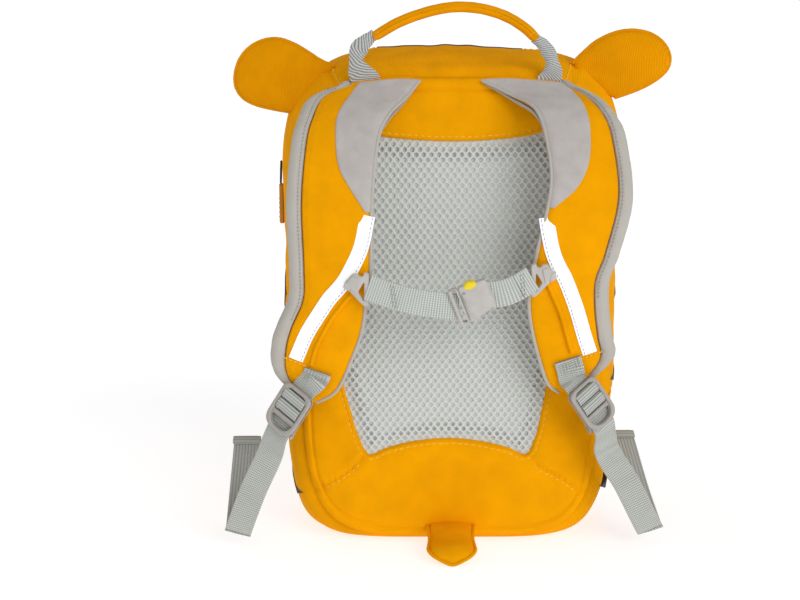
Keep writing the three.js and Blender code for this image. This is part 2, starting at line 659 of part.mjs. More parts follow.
function strapPad(frame) {
  return loft(spread(0, frame.last, STRAP_STEPS).map((at) => {
    const { width } = frame.axes(at);
    const deep = frame.thickAt(at) * STRAP.pad / STRAP.thick;
    const rollWide = Math.min(STRAP.roll, width * 0.3);
    const inner = 1.6;
    const outer = width - rollWide;
    const span = outer - inner;
    return [
      frame.point(at, inner, -deep), frame.point(at, inner, -deep * 0.45),
      frame.point(at, inner + span * 0.08, -deep * 0.1), frame.point(at, inner + span * 0.33, 0),
      frame.point(at, inner + span * 0.67, 0), frame.point(at, outer - span * 0.08, -deep * 0.1),
      frame.point(at, outer, -deep * 0.45), frame.point(at, outer, -deep),
    ];
  }));
}

function strapLining(frame) {
  return loft(spread(0, frame.last, STRAP_STEPS).map((at) => {
    const { width } = frame.axes(at);
    const thick = frame.thickAt(at);
    const deep = thick * STRAP.pad / STRAP.thick + 2 * GAP;
    const rollWide = Math.min(STRAP.roll, width * 0.3) - GAP;
    const lip = 1.6 - GAP;
    const seam = width - rollWide;
    return [
      frame.point(at, 1.2, -thick * 0.95), frame.point(at, width * 0.5, -thick),
      frame.point(at, width - rollWide * 0.25, -thick * 0.95), frame.point(at, width, -thick * 0.6),
      frame.point(at, width - rollWide * 0.1, -thick * 0.28), frame.point(at, seam + rollWide * 0.6, 0),
      frame.point(at, seam + rollWide * 0.22, 0.2 * thick / STRAP.thick), frame.point(at, seam, -deep * 0.35),
      frame.point(at, seam, -deep), frame.point(at, lip, -deep), frame.point(at, lip, -deep * 0.5),
      frame.point(at, 0.3, -deep * 0.8),
    ];
  }));
}

function suedePatch(side, frame) {
  const rows = SUEDE_ROWS[side];
  const lastRow = rows[rows.length - 1].row;
  const layer = (rise) => spread(0.04, lastRow, 11).map((at) => {
    const reach = column(rows, 'row', 'reach', at) * frame.axes(at).width;
    return range(4).map((t) => frame.point(at, 2 + (reach - 2) * t, GAP + rise));
  });
  return sheet(layer(SUEDE.thick), layer(0));
}

// Points of a line that runs along a strap, each raised off its face.
function strapLine(frame, rows, rise, count) {
  return spread(rows[0].row, rows[rows.length - 1].row, count).map((at) => (
    frame.point(at, column(rows, 'row', 'across', at) * frame.axes(at).width, rise)));
}

function reflectiveTape(frame, rows) {
  const count = 12;
  const low = rows[0].row;
  const high = rows[rows.length - 1].row;
  const line = strapLine(frame, rows, GAP, count);
  const layer = (rise) => line.map((p, i) => {
    const { out } = frame.axes(low + (high - low) * i / count);
    const side = heading(line, i).cross(out).normalize();
    return [-1, 0, 1].map((v) => {
      const droop = v === 0 ? 0.15 : 0;
      return p.clone().addScaledVector(side, v * TAPE.width / 2).addScaledVector(out, rise + 0.3 + droop);
    });
  });
  return sheet(layer(TAPE.thick), layer(0));
}

// Hardware

function lockAxes(side) {
  const place = LOCK_PLACE[side];
  const down = vec(place.axisX, 0.05, place.axisZ).normalize();
  const out = vec(0, -1, 0).addScaledVector(down, down.y).normalize();
  const across = down.clone().cross(out).normalize();
  const top = vec(place.x * halfWidth, BAG.backSeam - place.out * STRAP.rise, place.z * BAG.height);
  return { top, down, out, across };
}

const slots = () => {
  const s = LOCK_SLOTS;
  const first = s.top;
  const bar1 = first + s.first;
  const middle = bar1 + s.bar;
  const bar2 = middle + s.middle;
  const last = bar2 + s.bar;
  const bar3 = last + s.last;
  const ring = bar3 + s.bar;
  const bottom = ring + s.ring;
  return { first, bar1, middle, bar2, last, bar3, ring, bottom, length: bottom + s.bottom };
};

function ladderLock(side) {
  const s = slots();
  const inside = WEB.width / 2 + LOCK.side;
  const outside = inside + LOCK.edge;
  const frame = roundRect(new THREE.Shape(), -outside, -s.length, outside, 0, LOCK.corner);
  const slot = (from, to) => {
    frame.holes.push(new THREE.Path([
      new THREE.Vector2(-inside, -to), new THREE.Vector2(inside, -to),
      new THREE.Vector2(inside, -from), new THREE.Vector2(-inside, -from),
    ]));
  };
  slot(s.first, s.bar1);
  slot(s.middle, s.bar2);
  slot(s.last, s.bar3);
  const ring = inside - LOCK.ringInset;
  frame.holes.push(roundRect(new THREE.Path(), -ring, -s.bottom, ring, -s.ring, LOCK.ringCorner));
  const { top, down, out, across } = lockAxes(side);
  const geometry = plate(frame, LOCK.thick);
  geometry.applyMatrix4(new THREE.Matrix4().makeBasis(across.clone().negate(), down.clone().negate(), out));
  geometry.translate(top.x, top.y, top.z);
  return body(...meshOf(geometry));
}

// Runs of webbing by distance down the lock and height over its middle plane.
function lockPoint(side, downwards, rise) {
  const { top, down, out } = lockAxes(side);
  return top.clone().addScaledVector(down, downwards).addScaledVector(out, rise);
}

function strapTab(side, frame) {
  const s = slots();
  const over = LOCK.thick / 2 + GAP + WEB.thick / 2 + 0.25;
  const slotOne = (s.first + s.bar1) / 2;
  const slotTwo = s.middle + GAP + WEB.thick / 2 + 0.15;
  const { across } = lockAxes(side);
  const rows = [
    { row: frame.last - 2.3, share: 0.36, rise: 0.9 }, { row: frame.last - 1.7, share: 0.38, rise: 0.8 },
    { row: frame.last - 1.1, share: 0.42, rise: 2.1 }, { row: frame.last - 0.6, share: 0.48, rise: 3.2 },
  ];
  const onStrap = rows.map((place) => (
    frame.point(place.row, frame.axes(place.row).width * place.share, GAP + WEB.thick / 2 + place.rise)));
  const flat = rows.map((place) => {
    const { out } = frame.axes(place.row);
    return across.clone().addScaledVector(out, -across.dot(out));
  });
  const points = [
    ...onStrap,
    lockPoint(side, -2.5, -over - 0.9),
    lockPoint(side, slotOne - 1, -over - 0.35),
    lockPoint(side, slotOne, -1),
    lockPoint(side, slotOne, 1),
    lockPoint(side, slotOne + 1.1, over),
    lockPoint(side, s.middle - 0.3, over),
    lockPoint(side, slotTwo, 1.5),
    lockPoint(side, slotTwo, -1.5),
    lockPoint(side, s.middle - 0.4, -over - 0.1),
    lockPoint(side, s.bar1 + 1, -over - 0.1),
  ];
  return band(points, (i) => (i < flat.length ? flat[i] : across), WEB.width, WEB.thick);
}

function adjustWebbing(side) {
  const s = slots();
  const over = LOCK.thick / 2 + GAP + WEB.thick / 2 + 0.25;
  const slotTwo = s.bar2 - GAP - WEB.thick / 2 - 0.25;
  const slotThree = (s.last + s.bar3) / 2;
  const anchor = WEB_ANCHOR[side];
  const seam = vec(anchor.x * halfWidth, 0, anchor.z * BAG.height);
  seam.y = BAG.backSeam - BACK.thick - GAP - WEB.thick;
  const low = lockPoint(side, s.length, -over - WEB.thick - 4.5);
  const { across } = lockAxes(side);
  const run = [
    seam,
    seam.clone().lerp(low, 0.5).add(vec(0, -1, 0)),
    low,
    lockPoint(side, s.ring, -over - WEB.thick - 1.6),
    lockPoint(side, s.last, -over - WEB.thick - 0.5),
    lockPoint(side, slotTwo + 0.6, -over - 0.6),
    lockPoint(side, slotTwo, -1.3),
    lockPoint(side, slotTwo, 1.3),
    lockPoint(side, slotTwo + 1.1, over + 0.1),
    lockPoint(side, s.last - 0.5, over),
    lockPoint(side, slotThree, 1.2),
    lockPoint(side, slotThree, -1.2),
    lockPoint(side, slotThree + 1.3, -over - 0.1),
    lockPoint(side, s.bottom, -over - 0.6),
    lockPoint(side, s.length + 3, -over - 2),
  ];
  const free = TAIL_WEB[side].map((row) => (
    vec(row.x * halfWidth, BAG.backSeam - row.out, row.z * BAG.height)));
  const points = [...run, ...free];
  const level = vec(-Math.cos(anchor.lean), 0, -Math.sin(anchor.lean));
  return band(points, (i) => (i < run.length ? across : level), WEB.width, WEB.thick);
}

// A polygon with its corners rounded off.
function rounded(path, corners, share) {
  const count = corners.length;
  const towards = (from, to) => from.clone().lerp(to, share);
  corners.forEach((corner, i) => {
    const before = towards(corner, corners[(i + count - 1) % count]);
    const after = towards(corner, corners[(i + 1) % count]);
    if (i === 0) {
      path.moveTo(before.x, before.y);
    } else {
      path.lineTo(before.x, before.y);
    }
    path.quadraticCurveTo(corner.x, corner.y, after.x, after.y);
  });
  path.closePath();
  return path;
}

const frames = { left: strapFrame('left'), right: strapFrame('right') };

function clipMiddle(side) {
  const frame = frames[side];
  const { row, across } = CHEST_PLACE[side];
  const rise = 2 * RAIL.radius + 2 * GAP + CLIP.thick / 2 + 0.6;
  return frame.point(row, across * frame.axes(row).width, rise);
}

// A three-cornered ring on the rail of one strap, its long side towards the buckle.
function chestClip(side) {
  const sign = side === 'left' ? 1 : -1;
  const size = CLIP.ring;
  const corners = (list) => {
    const turned = list.map(([x, y]) => new THREE.Vector2(sign * x * size, y * size));
    return sign > 0 ? turned.reverse() : turned;
  };
  const outside = corners([[-2.3, 0.1], [-0.5, 2.6], [1.5, 2.5], [1.9, -2.4], [0.6, -2.9]]);
  const inside = corners([[-1.1, 0.1], [-0.1, 1.5], [0.75, 1.4], [1.0, -1.5], [0.4, -1.7]]);
  const shape = rounded(new THREE.Shape(), outside, 0.28);
  shape.holes.push(rounded(new THREE.Path(), inside, 0.28));
  const frame = frames[side];
  const { out } = frame.axes(CHEST_PLACE[side].row);
  const level = vec(1, 0, 0).addScaledVector(out, -out.x).normalize();
  const geometry = plate(shape, CLIP.thick);
  geometry.applyMatrix4(new THREE.Matrix4().makeBasis(level, out.clone().cross(level), out));
  const middle = clipMiddle(side);
  geometry.translate(middle.x, middle.y, middle.z);
  return body(...meshOf(geometry));
}

function buckleAxes() {
  const { x, z, tilt } = CHEST_PLACE.buckle;
  const along = vec(Math.cos(tilt), 0, Math.sin(tilt));
  const up = vec(-Math.sin(tilt), 0, Math.cos(tilt));
  const y = (clipMiddle('left').y + clipMiddle('right').y) / 2 - 1.5;
  return { middle: vec(x * halfWidth, y, z * BAG.height), along, up, out: vec(0, -1, 0) };
}

function placed(geometry, shiftAlong, shiftOut) {
  const { middle, along, up, out } = buckleAxes();
  geometry.applyMatrix4(new THREE.Matrix4().makeBasis(along, out, up.clone()));
  const at = middle.clone().addScaledVector(along, shiftAlong).addScaledVector(out, shiftOut);
  geometry.translate(at.x, at.y, at.z);
  return body(...meshOf(geometry));
}

function buckleParts() {
  const bodyLength = BUCKLE.length - BUCKLE.tongue;
  const half = BUCKLE.height / 2;
  const box = (from, to, reach, radius) => roundRect(new THREE.Shape(), from, -reach, to, reach, radius);
  const standing = (shape, thick, bevel) => {
    const geometry = plate(shape, thick, bevel);
    geometry.rotateX(Math.PI / 2);
    return geometry;
  };
  const left = -BUCKLE.length / 2;
  const main = box(left, left + bodyLength, half, 2.5);
  main.holes.push(roundRect(new THREE.Path(), left + 2.6, -half + 2, left + 5.8, half - 2, 0.8));
  const well = new THREE.Path();
  const buttonX = left + bodyLength * 0.62;
  well.absellipse(buttonX, half * 0.36, BUCKLE.button + GAP, BUCKLE.button * 0.8 + GAP, 0, Math.PI * 2, true);
  main.holes.push(well);
  const button = new THREE.Shape();
  button.absellipse(buttonX, half * 0.36, BUCKLE.button, BUCKLE.button * 0.8, 0, Math.PI * 2, false);
  const tongue = box(left + bodyLength + GAP, -left, half - 2.5, 2);
  return {
    buckle_body: placed(standing(main, BUCKLE.thick, 0), 0, 0),
    buckle_tongue: placed(standing(tongue, BUCKLE.thick - 2.5, 0.9), 0, 0),
    buckle_button: placed(standing(button, BUCKLE.thick + 1.2, 0.6), 0, 0.2),
  };
}

function chestWebbing(side) {
  const { middle, along, up } = buckleAxes();
  const sign = side === 'left' ? -1 : 1;
  const reach = BUCKLE.length / 2 + GAP + CHEST.thick * 0.2;
  const end = middle.clone().addScaledVector(along, sign * reach);
  const start = clipMiddle(side).add(vec(-sign * (CLIP.ring * 2.25 + GAP + 3.2), -1, 0));
  const points = range(6).map((t) => {
    const p = start.clone().lerp(end, t);
    p.y -= Math.sin(Math.PI * t) * 2;
    p.z -= Math.sin(Math.PI * t) * 2.5;
    return p;
  });
  const before = end.clone().addScaledVector(along, sign * 2.5);
  points.splice(points.length - 1, 1, before, end);
  const lean = (i) => vec(0, 0, 1).lerp(up, Math.min(i / (points.length - 2), 1));
  return band(points, lean, CHEST.width - 1, CHEST.thick);
}

// Haul loop

const handleY = () => BAG.backSeam - BACK.thick / 2;

function handleGrip() {
  const points = HANDLE_LINE.map((row) => vec(row.x * halfWidth, handleY() - 2, row.z * BAG.height));
  return bar(points, GRIP.radius);
}

function handleWebbing(side) {
  const points = HANDLE_ENDS[side].map((row) => (
    vec(row.x * halfWidth, handleY() + row.out * 0.5, row.z * BAG.height)));
  const widths = HANDLE_ENDS[side].map((row) => row.wide * WEB.width);
  return band(points, () => vec(1, 0, 0.15), (i) => widths[i], 1.6);
}

// Zip slider and its pull, on the left side

function zipPull() {
  const angle = angleAt(PULL_PLACE.z, 'left');
  const seat = skin(angle, ZIP.place);
  const out = skinNormal(angle, ZIP.place);
  const slider = new THREE.BoxGeometry(SLIDER.thick, SLIDER.width, SLIDER.length);
  slider.translate(seat.x + out.x * (SLIDER.thick / 2 + GAP), seat.y, seat.z);
  const outX = seat.x + out.x * (SLIDER.thick + GAP * 2 + PULL.cord);
  const top = vec(outX, seat.y, seat.z);
  const low = top.clone().add(vec(0, 0, -PULL.cordLength));
  const cord = bar([top, top.clone().lerp(low, 0.5).add(vec(-0.6, 0, 0)), low], PULL.cord, 6);
  const shape = roundRect(new THREE.Shape(), -PULL.width / 2, -PULL.length, PULL.width / 2, 0, 1.8);
  const grip = plate(shape, PULL.thick, 0.8);
  grip.rotateX(Math.PI / 2);
  grip.rotateZ(Math.PI / 2);
  grip.translate(low.x, low.y, low.z - GAP);
  return {
    zip_slider: body(...meshOf(slider)),
    zip_cord: cord,
    zip_pull: body(...meshOf(grip)),
  };
}

// The backpack

const backpack = new THREE.Group();

function add(name, geometry, colour) {
  const [tint, roughness, metalness] = COLOURS[colour];
  geometry.computeVertexNormals();
  const mesh = new THREE.Mesh(geometry, new THREE.MeshStandardMaterial({ color: tint, roughness, metalness }));
  mesh.name = name;
  backpack.add(mesh);
}

add('back_panel', endPanel(0, BACK.crown, BACK.thick, -1), 'yellow');
add('spacer_panel', spacerPanel(), 'spacer');
add('front_panel', endPanel(1, FRONT.crown, CLOTH, 1), 'yellow');
Object.entries(gussets()).forEach(([name, geometry]) => add(name, geometry, name === 'zip_tape' ? 'dark' : 'yellow'));
add('top_stripe', topStripe(), 'dark');
add('tail', tail(), 'yellow');
add('handle_grip', handleGrip(), 'grip');
Object.entries(zipPull()).forEach(([name, geometry]) => add(name, geometry, name === 'zip_slider' ? 'dark' : 'pull'));
Object.entries(buckleParts()).forEach(([name, geometry]) => (
  add(name, geometry, name === 'buckle_button' ? 'button' : 'plastic')));

['left', 'right'].forEach((side) => {
  const frame = frames[side];
  add(`ear_${side}`, ear(side), 'yellow');
  SIDE_STRIPES[side].forEach((row, i) => add(`side_stripe_${side}_${i + 1}`, sideStripe(side, row), 'dark'));
  add(`handle_webbing_${side}`, handleWebbing(side), 'webbing');
  add(`strap_${side}`, strapPad(frame), 'yellow');
  add(`strap_lining_${side}`, strapLining(frame), 'lining');
  add(`shoulder_patch_${side}`, suedePatch(side, frame), 'suede');
  add(`reflective_tape_${side}`, reflectiveTape(frame, TAPE_LINE[side]), 'reflective');
  add(`clip_rail_${side}`, bar(strapLine(frame, RAIL_LINE[side], RAIL.radius + GAP + 0.3, 8), RAIL.radius, 6), 'yellow');
  add(`ladder_lock_${side}`, ladderLock(side), 'plastic');
  add(`strap_tab_${side}`, strapTab(side, frame), 'webbing');
  add(`adjust_webbing_${side}`, adjustWebbing(side), 'webbing');
  add(`chest_clip_${side}`, chestClip(side), 'plastic');
  add(`chest_webbing_${side}`, chestWebbing(side), 'webbing');
});

export default backpack;
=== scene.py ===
# A small child's backpack with ears and a tail, standing on its bottom, seen from the wearer's side.
# Lengths in this script are millimetres, turned into metres where a mesh is made.
import math

import bmesh
import bpy
from mathutils import Matrix, Vector, kdtree, noise


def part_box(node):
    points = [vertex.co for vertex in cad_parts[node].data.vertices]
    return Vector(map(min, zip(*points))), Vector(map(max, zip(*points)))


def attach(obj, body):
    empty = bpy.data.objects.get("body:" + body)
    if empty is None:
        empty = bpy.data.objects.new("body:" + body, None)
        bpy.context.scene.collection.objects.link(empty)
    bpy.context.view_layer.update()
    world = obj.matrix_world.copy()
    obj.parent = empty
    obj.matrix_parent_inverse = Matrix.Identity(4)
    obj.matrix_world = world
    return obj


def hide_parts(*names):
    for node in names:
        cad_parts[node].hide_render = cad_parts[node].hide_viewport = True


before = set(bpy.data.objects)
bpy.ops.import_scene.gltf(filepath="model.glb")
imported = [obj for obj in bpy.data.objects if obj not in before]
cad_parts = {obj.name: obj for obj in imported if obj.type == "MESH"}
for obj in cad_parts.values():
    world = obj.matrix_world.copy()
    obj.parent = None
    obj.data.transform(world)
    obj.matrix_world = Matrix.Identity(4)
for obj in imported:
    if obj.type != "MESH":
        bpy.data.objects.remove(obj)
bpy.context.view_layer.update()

MM = 0.001

# Driving dimensions, as in the solid model, but with smaller webbing and locks

GAP = 0.3
CLOTH = 2.0
WIDTH, HEIGHT = 240.0, 350.0
BACK_SEAM, FRONT_SEAM = -70.0, 56.0
TOP_POWER, SETTLE = 4.0, 1.6
BACK_THICK, BACK_CROWN = 4.0, 5.0
FRONT_CROWN = 17.0
ZIP_WIDTH, ZIP_PLACE, ZIP_INSET, ZIP_END = 9.0, 0.66, 0.8, 0.3
SPACER_THICK = 3.0
EAR_THICK = 13.0
TAIL_LENGTH, TAIL_WIDTH, TAIL_THICK = 50.0, 35.0, 14.0
STRAP_THICK, STRAP_PAD, STRAP_CROWN, STRAP_ROLL = 9.0, 4.6, 1.6, 11.0
STRAP_RISE, STRAP_ROLL_BACK = 41.0, 7.0
SUEDE_THICK = 1.2
TAPE_WIDTH = 10.0
RAIL_RADIUS = 1.5
WEB_WIDTH, WEB_THICK = 18.8, 1.2
CHEST_WIDTH, CHEST_THICK = 18.6, 2.0
HEM_RADIUS = 3.0
GRIP_RADIUS = 3.6
RIB = 1.6

HALF = WIDTH / 2
MIDDLE = HEIGHT / 2
DEPTH = FRONT_SEAM - BACK_SEAM
SEED = 7.3
SIDES = ("left", "right")
NEARER, DEEPER = Vector((0, -1, 0)), Vector((0, 1, 0))


def rows(names, *values):
    """A table: a dictionary for each row, with the columns that names lists."""
    return [dict(zip(names.split(), row)) for row in values]


GIRTH = rows(
    "along side top bottom corner",
    (0.0, 0.062, 0.057, 0.018, 5),
    (0.1, 0.03, 0.034, 0.006, 6.5),
    (0.25, 0.008, 0.012, 0.0, 8),
    (0.5, 0.0, 0.0, 0.0, 9),
    (0.75, 0.01, 0.012, 0.0, 8),
    (0.92, 0.04, 0.045, 0.004, 6),
    (1.0, 0.075, 0.08, 0.02, 5),
)
SPACER_ROWS = rows(
    "height left right",
    (0.0, -0.51, 0.47), (0.12, -0.575, 0.52), (0.24, -0.635, 0.56), (0.45, -0.68, 0.63),
    (0.7, -0.68, 0.65), (0.9, -0.63, 0.62), (1.0, -0.57, 0.57),
)
SPACER_LOW, SPACER_HIGH, LOW_ARCH, HIGH_SAG = 0.187, 0.84, 0.038, 0.018

STRAP_COLUMNS = "row inner innerHigh outer outerHigh lift pad"
STRAP_ROWS = {
    "left": rows(
        STRAP_COLUMNS,
        (0, -0.183, 0.94, -0.675, 0.926, -0.022, 0.34),
        (1, -0.258, 0.911, -0.817, 0.909, 0.2, 0.6),
        (2, -0.358, 0.88, -0.875, 0.871, 0.54, 0.9),
        (3, -0.417, 0.834, -0.908, 0.823, 0.78, 1.0),
        (4, -0.45, 0.72, -0.933, 0.717, 1.0, 1.0),
        (5, -0.458, 0.586, -0.925, 0.586, 0.95, 1.0),
        (6, -0.483, 0.526, -0.933, 0.526, 0.88, 1.0),
        (7, -0.508, 0.466, -1.0, 0.471, 0.78, 1.0),
        (8, -0.558, 0.414, -1.033, 0.434, 0.66, 1.0),
        (9, -0.625, 0.357, -1.042, 0.394, 0.54, 0.95),
        (10, -0.683, 0.329, -1.008, 0.363, 0.47, 0.85),
        (11, -0.775, 0.311, -0.925, 0.334, 0.43, 0.7),
    ),
    "right": rows(
        STRAP_COLUMNS,
        (0, 0.158, 0.94, 0.708, 0.929, -0.022, 0.34),
        (1, 0.308, 0.917, 0.833, 0.909, 0.2, 0.6),
        (2, 0.433, 0.897, 0.908, 0.88, 0.54, 0.9),
        (3, 0.492, 0.851, 0.958, 0.834, 0.78, 1.0),
        (4, 0.525, 0.754, 0.992, 0.723, 1.0, 1.0),
        (5, 0.458, 0.629, 0.933, 0.62, 0.95, 1.0),
        (6, 0.425, 0.566, 0.883, 0.566, 0.88, 1.0),
        (7, 0.417, 0.514, 0.883, 0.514, 0.78, 1.0),
        (8, 0.442, 0.46, 0.908, 0.449, 0.66, 1.0),
        (9, 0.492, 0.397, 0.933, 0.409, 0.54, 0.95),
        (10, 0.542, 0.351, 0.875, 0.38, 0.47, 0.85),
        (11, 0.608, 0.331, 0.808, 0.363, 0.43, 0.7),
    ),
}
SUEDE_ROWS = {
    "left": rows("row reach", (0, 0.7), (1, 0.57), (2, 0.55), (3, 0.48), (3.5, 0.4), (3.85, 0.24),
        (4.15, 0.08)),
    "right": rows("row reach", (0, 0.85), (1, 0.71), (2, 0.61), (3, 0.54), (3.5, 0.47), (4, 0.3),
        (4.35, 0.08)),
}
TAPE_LINE = {
    "left": rows("row across", (4.2, 0.05), (4.6, 0.12), (5, 0.25), (6, 0.49), (7, 0.61),
        (8, 0.645), (8.45, 0.665)),
    "right": rows("row across", (4.5, 0.02), (5, 0.17), (6, 0.43), (7, 0.57), (8, 0.64), (8.7, 0.66)),
}
RAIL_LINE = {
    "left": rows("row across", (5.3, 0.1), (6, 0.27), (6.6, 0.39), (7.6, 0.46), (8.5, 0.46)),
    "right": rows("row across", (5.6, 0.1), (6, 0.2), (7, 0.36), (7.8, 0.42), (8.6, 0.44)),
}
SIDE_STRIPES = {
    "left": rows("low high point reach", (0.42, 0.56, 0.5, 0.24), (0.05, 0.14, 0.085, 0.06)),
    "right": rows("low high point reach", (0.44, 0.54, 0.5, 0.24), (0.28, 0.36, 0.33, 0.12),
        (0.06, 0.15, 0.1, 0.06)),
}
TOP_STRIPE_HALF, TOP_STRIPE_FROM, TOP_STRIPE_TO = 54.0, 0.47, 0.6
EAR_PLACE = {
    "left": (-0.78, 0.915, -1.29, 0.945),
    "right": (0.79, 0.93, 1.31, 0.975),
}
EAR_ROOT, EAR_LEAN = -41.0, 0.24
EAR_SEAM = {
    "left": rows(
        "along up",
        (-9, 18.5), (1.6, 21.2), (11, 25.1), (21.8, 28.9), (33.5, 30.5), (44, 27.6), (53, 21),
        (58.8, 11.5), (60.6, 0),
        (58.3, -9.2), (52.2, -15.4), (43, -18.4), (32, -19.2), (15, -19), (4, -7), (-5, 5),
    ),
    "right": rows(
        "along up",
        (-7, 16), (2.4, 21.2), (12.4, 26), (23.3, 28.4), (33.5, 28.6), (44, 26.2), (54, 20.8),
        (61, 12.4), (63.3, 2.9),
        (60.3, -5), (53.4, -9.8), (45.3, -12.6), (34.4, -14.7), (17, -16), (4, -4), (-5, 6),
    ),
}
TAIL_ROWS = rows(
    "along half thick high",
    (0.0, 1.02, 0.55, 1.0), (0.2, 0.96, 0.75, 0.72), (0.4, 0.91, 0.9, 0.3), (0.58, 0.95, 0.98, 0.08),
    (0.72, 0.98, 1.0, 0.0), (0.84, 0.89, 0.92, 0.0), (0.93, 0.68, 0.7, 0.0), (0.98, 0.4, 0.42, 0.0),
    (1.0, 0.12, 0.2, 0.0),
)
HANDLE_LINE = rows(
    "x z",
    (-0.45, 1.022), (-0.3, 1.051), (-0.13, 1.071), (0.01, 1.079),
    (0.15, 1.076), (0.29, 1.062), (0.4, 1.04), (0.47, 1.018),
)
HANDLE_ENDS = {
    "left": rows(
        "x z wide out",
        (-0.495, 0.9355, 1.12, 0), (-0.53, 0.956, 0.84, -2), (-0.548, 0.976, 0.5, -4), (-0.53, 1.0, 0.66, -4),
        (-0.485, 1.016, 0.5, -4), (-0.4605, 1.0226, 0.4, -4),
    ),
    "right": rows(
        "x z wide out",
        (0.545, 0.933, 0.98, 0), (0.565, 0.955, 0.7, -2), (0.56, 0.975, 0.46, -4), (0.54, 0.992, 0.52, -4),
        (0.505, 1.008, 0.45, -4), (0.4765, 1.0155, 0.38, -4),
    ),
}
LOCK_PLACE = {
    "left": (-0.862, 0.345, 0.97, -0.53, -0.85),
    "right": (0.719, 0.356, 0.97, 0.56, -0.83),
}
LOCK_EDGE, LOCK_THICK, LOCK_SIDE, LOCK_CORNER, RING_INSET = 2.9, 3.0, 0.4, 5.0, 0.6
LOCK_TURN = 0.5
TAIL_WEB = {
    "left": rows(
        "x z out",
        (-1.06, 0.2, 24), (-1.155, 0.128, 20), (-1.232, 0.058, 17), (-1.26, 0.03, 13), (-1.26, 0.03, 4),
        (-1.25, 0.09, -12), (-1.228, 0.19, -28),
    ),
    "right": rows(
        "x z out",
        (0.9, 0.212, 24), (1.025, 0.14, 20), (1.14, 0.062, 17), (1.18, 0.036, 13), (1.18, 0.036, 4),
        (1.12, 0.1, -12), (1.036, 0.203, -28),
    ),
}
WEB_ANCHOR = {"left": (-0.94, 0.27), "right": (0.8, 0.285)}
CHEST_PLACE = {"left": (5.33, 0.13), "right": (5.75, 0.1)}
BUCKLE_X, BUCKLE_Z, BUCKLE_TILT = 0.105, 0.532, 0.38
BUCKLE_LENGTH, BUCKLE_HEIGHT, BUCKLE_THICK, BUCKLE_TONGUE, BUTTON = 27.5, 25.5, 9.0, 7.0, 4.4
CLIP_THICK, CLIP_RING = 3.0, 4.2
PULL_Z = 0.76
PULL_HANGS_OFF = 2.5


# Numbers and vectors

def clamp(value, low, high):
    return max(low, min(high, value))


def smooth(edge0, edge1, value):
    t = clamp((value - edge0) / (edge1 - edge0), 0.0, 1.0)
    return t * t * (3 - 2 * t)


def hump(distance, width):
    """1 at no distance, falling off to 0 over about two widths."""
    return math.exp(-(distance / width) ** 2)


def mix(a, b, t):
    return a + (b - a) * t


def spread(start, end, count):
    return [mix(start, end, i / count) for i in range(count + 1)]


def rough(x, y=0.0, z=0.0):
    """Smooth noise from -1 to 1."""
    return noise.noise(Vector((x + SEED, y - SEED, z + 2 * SEED)))


def column(table, key, name, at):
    """Smooth value of one column of a table, whose key column rises from row to row."""
    last = len(table) - 1
    place = clamp(at, table[0][key], table[last][key])
    i = 0
    while i < last - 1 and place > table[i + 1][key]:
        i += 1
    before = table[max(i - 1, 0)]
    after = table[min(i + 2, last)]
    a, b = table[i], table[i + 1]
    step = b[key] - a[key]
    t = (place - a[key]) / step
    slope_a = (b[name] - before[name]) / ((b[key] - before[key]) or 1) * step
    slope_b = (after[name] - a[name]) / ((after[key] - a[key]) or 1) * step
    t2 = t * t
    t3 = t2 * t
    return (
        (2 * t3 - 3 * t2 + 1) * a[name] + (t3 - 2 * t2 + t) * slope_a
        + (3 * t2 - 2 * t3) * b[name] + (t3 - t2) * slope_b
    )


def through(points, count, closed=False, extras=None):
    """count + 1 points, or count if closed, evenly spaced along a smooth curve through points.

    extras holds a vector for each point, and comes back blended in the same way."""
    n = len(points)
    fine, carried = [], []
    spans = n if closed else n - 1
    for i in range(spans):
        p0 = points[(i - 1) % n] if closed or i else points[0] * 2 - points[1]
        p1, p2 = points[i], points[(i + 1) % n]
        p3 = points[(i + 2) % n] if closed or i + 2 < n else points[-1] * 2 - points[-2]
        t1 = math.sqrt((p1 - p0).length) or 1e-6
        t2 = t1 + (math.sqrt((p2 - p1).length) or 1e-6)
        t3 = t2 + (math.sqrt((p3 - p2).length) or 1e-6)
        for k in range(16):
            t = mix(t1, t2, k / 16)
            a1 = p0.lerp(p1, t / t1)
            a2 = p1.lerp(p2, (t - t1) / (t2 - t1))
            a3 = p2.lerp(p3, (t - t2) / (t3 - t2))
            b1 = a1.lerp(a2, t / t2)
            b2 = a2.lerp(a3, (t - t1) / (t3 - t1))
            fine.append(b1.lerp(b2, (t - t1) / (t2 - t1)))
            if extras:
                carried.append(extras[i].lerp(extras[(i + 1) % n], smooth(0, 1, k / 16)))
    fine.append(points[0].copy() if closed else points[-1].copy())
    if extras:
        carried.append(extras[0 if closed else -1])
        return even(fine, count, carried)
    return even(fine, count)[:count if closed else count + 1]


def even(points, count, extras=None):
    """count + 1 points, evenly spaced along a run of points, with their extras if there are any."""
    reach = [0.0]
    for a, b in zip(points, points[1:]):
        reach.append(reach[-1] + (b - a).length)
    result, carried = [], []
    i = 0
    for k in range(count + 1):
        want = reach[-1] * k / count
        while i < len(points) - 2 and reach[i + 1] < want:
            i += 1
        step = reach[i + 1] - reach[i]
        share = clamp((want - reach[i]) / step, 0, 1) if step > 0 else 0
        result.append(points[i].lerp(points[i + 1], share))
        if extras:
            carried.append(extras[i].lerp(extras[i + 1], share))
    return (result, carried) if extras else result


def placed(name, data):
    """A new object in the scene."""
    thing = bpy.data.objects.new(name, data)
    bpy.context.scene.collection.objects.link(thing)
    return thing


def settled(piece):
    """Mesh of an object with its modifiers applied."""
    graph = bpy.context.evaluated_depsgraph_get()
    return bpy.data.meshes.new_from_object(piece.evaluated_get(graph))


def length_of(points):
    return sum((b - a).length for a, b in zip(points, points[1:]))


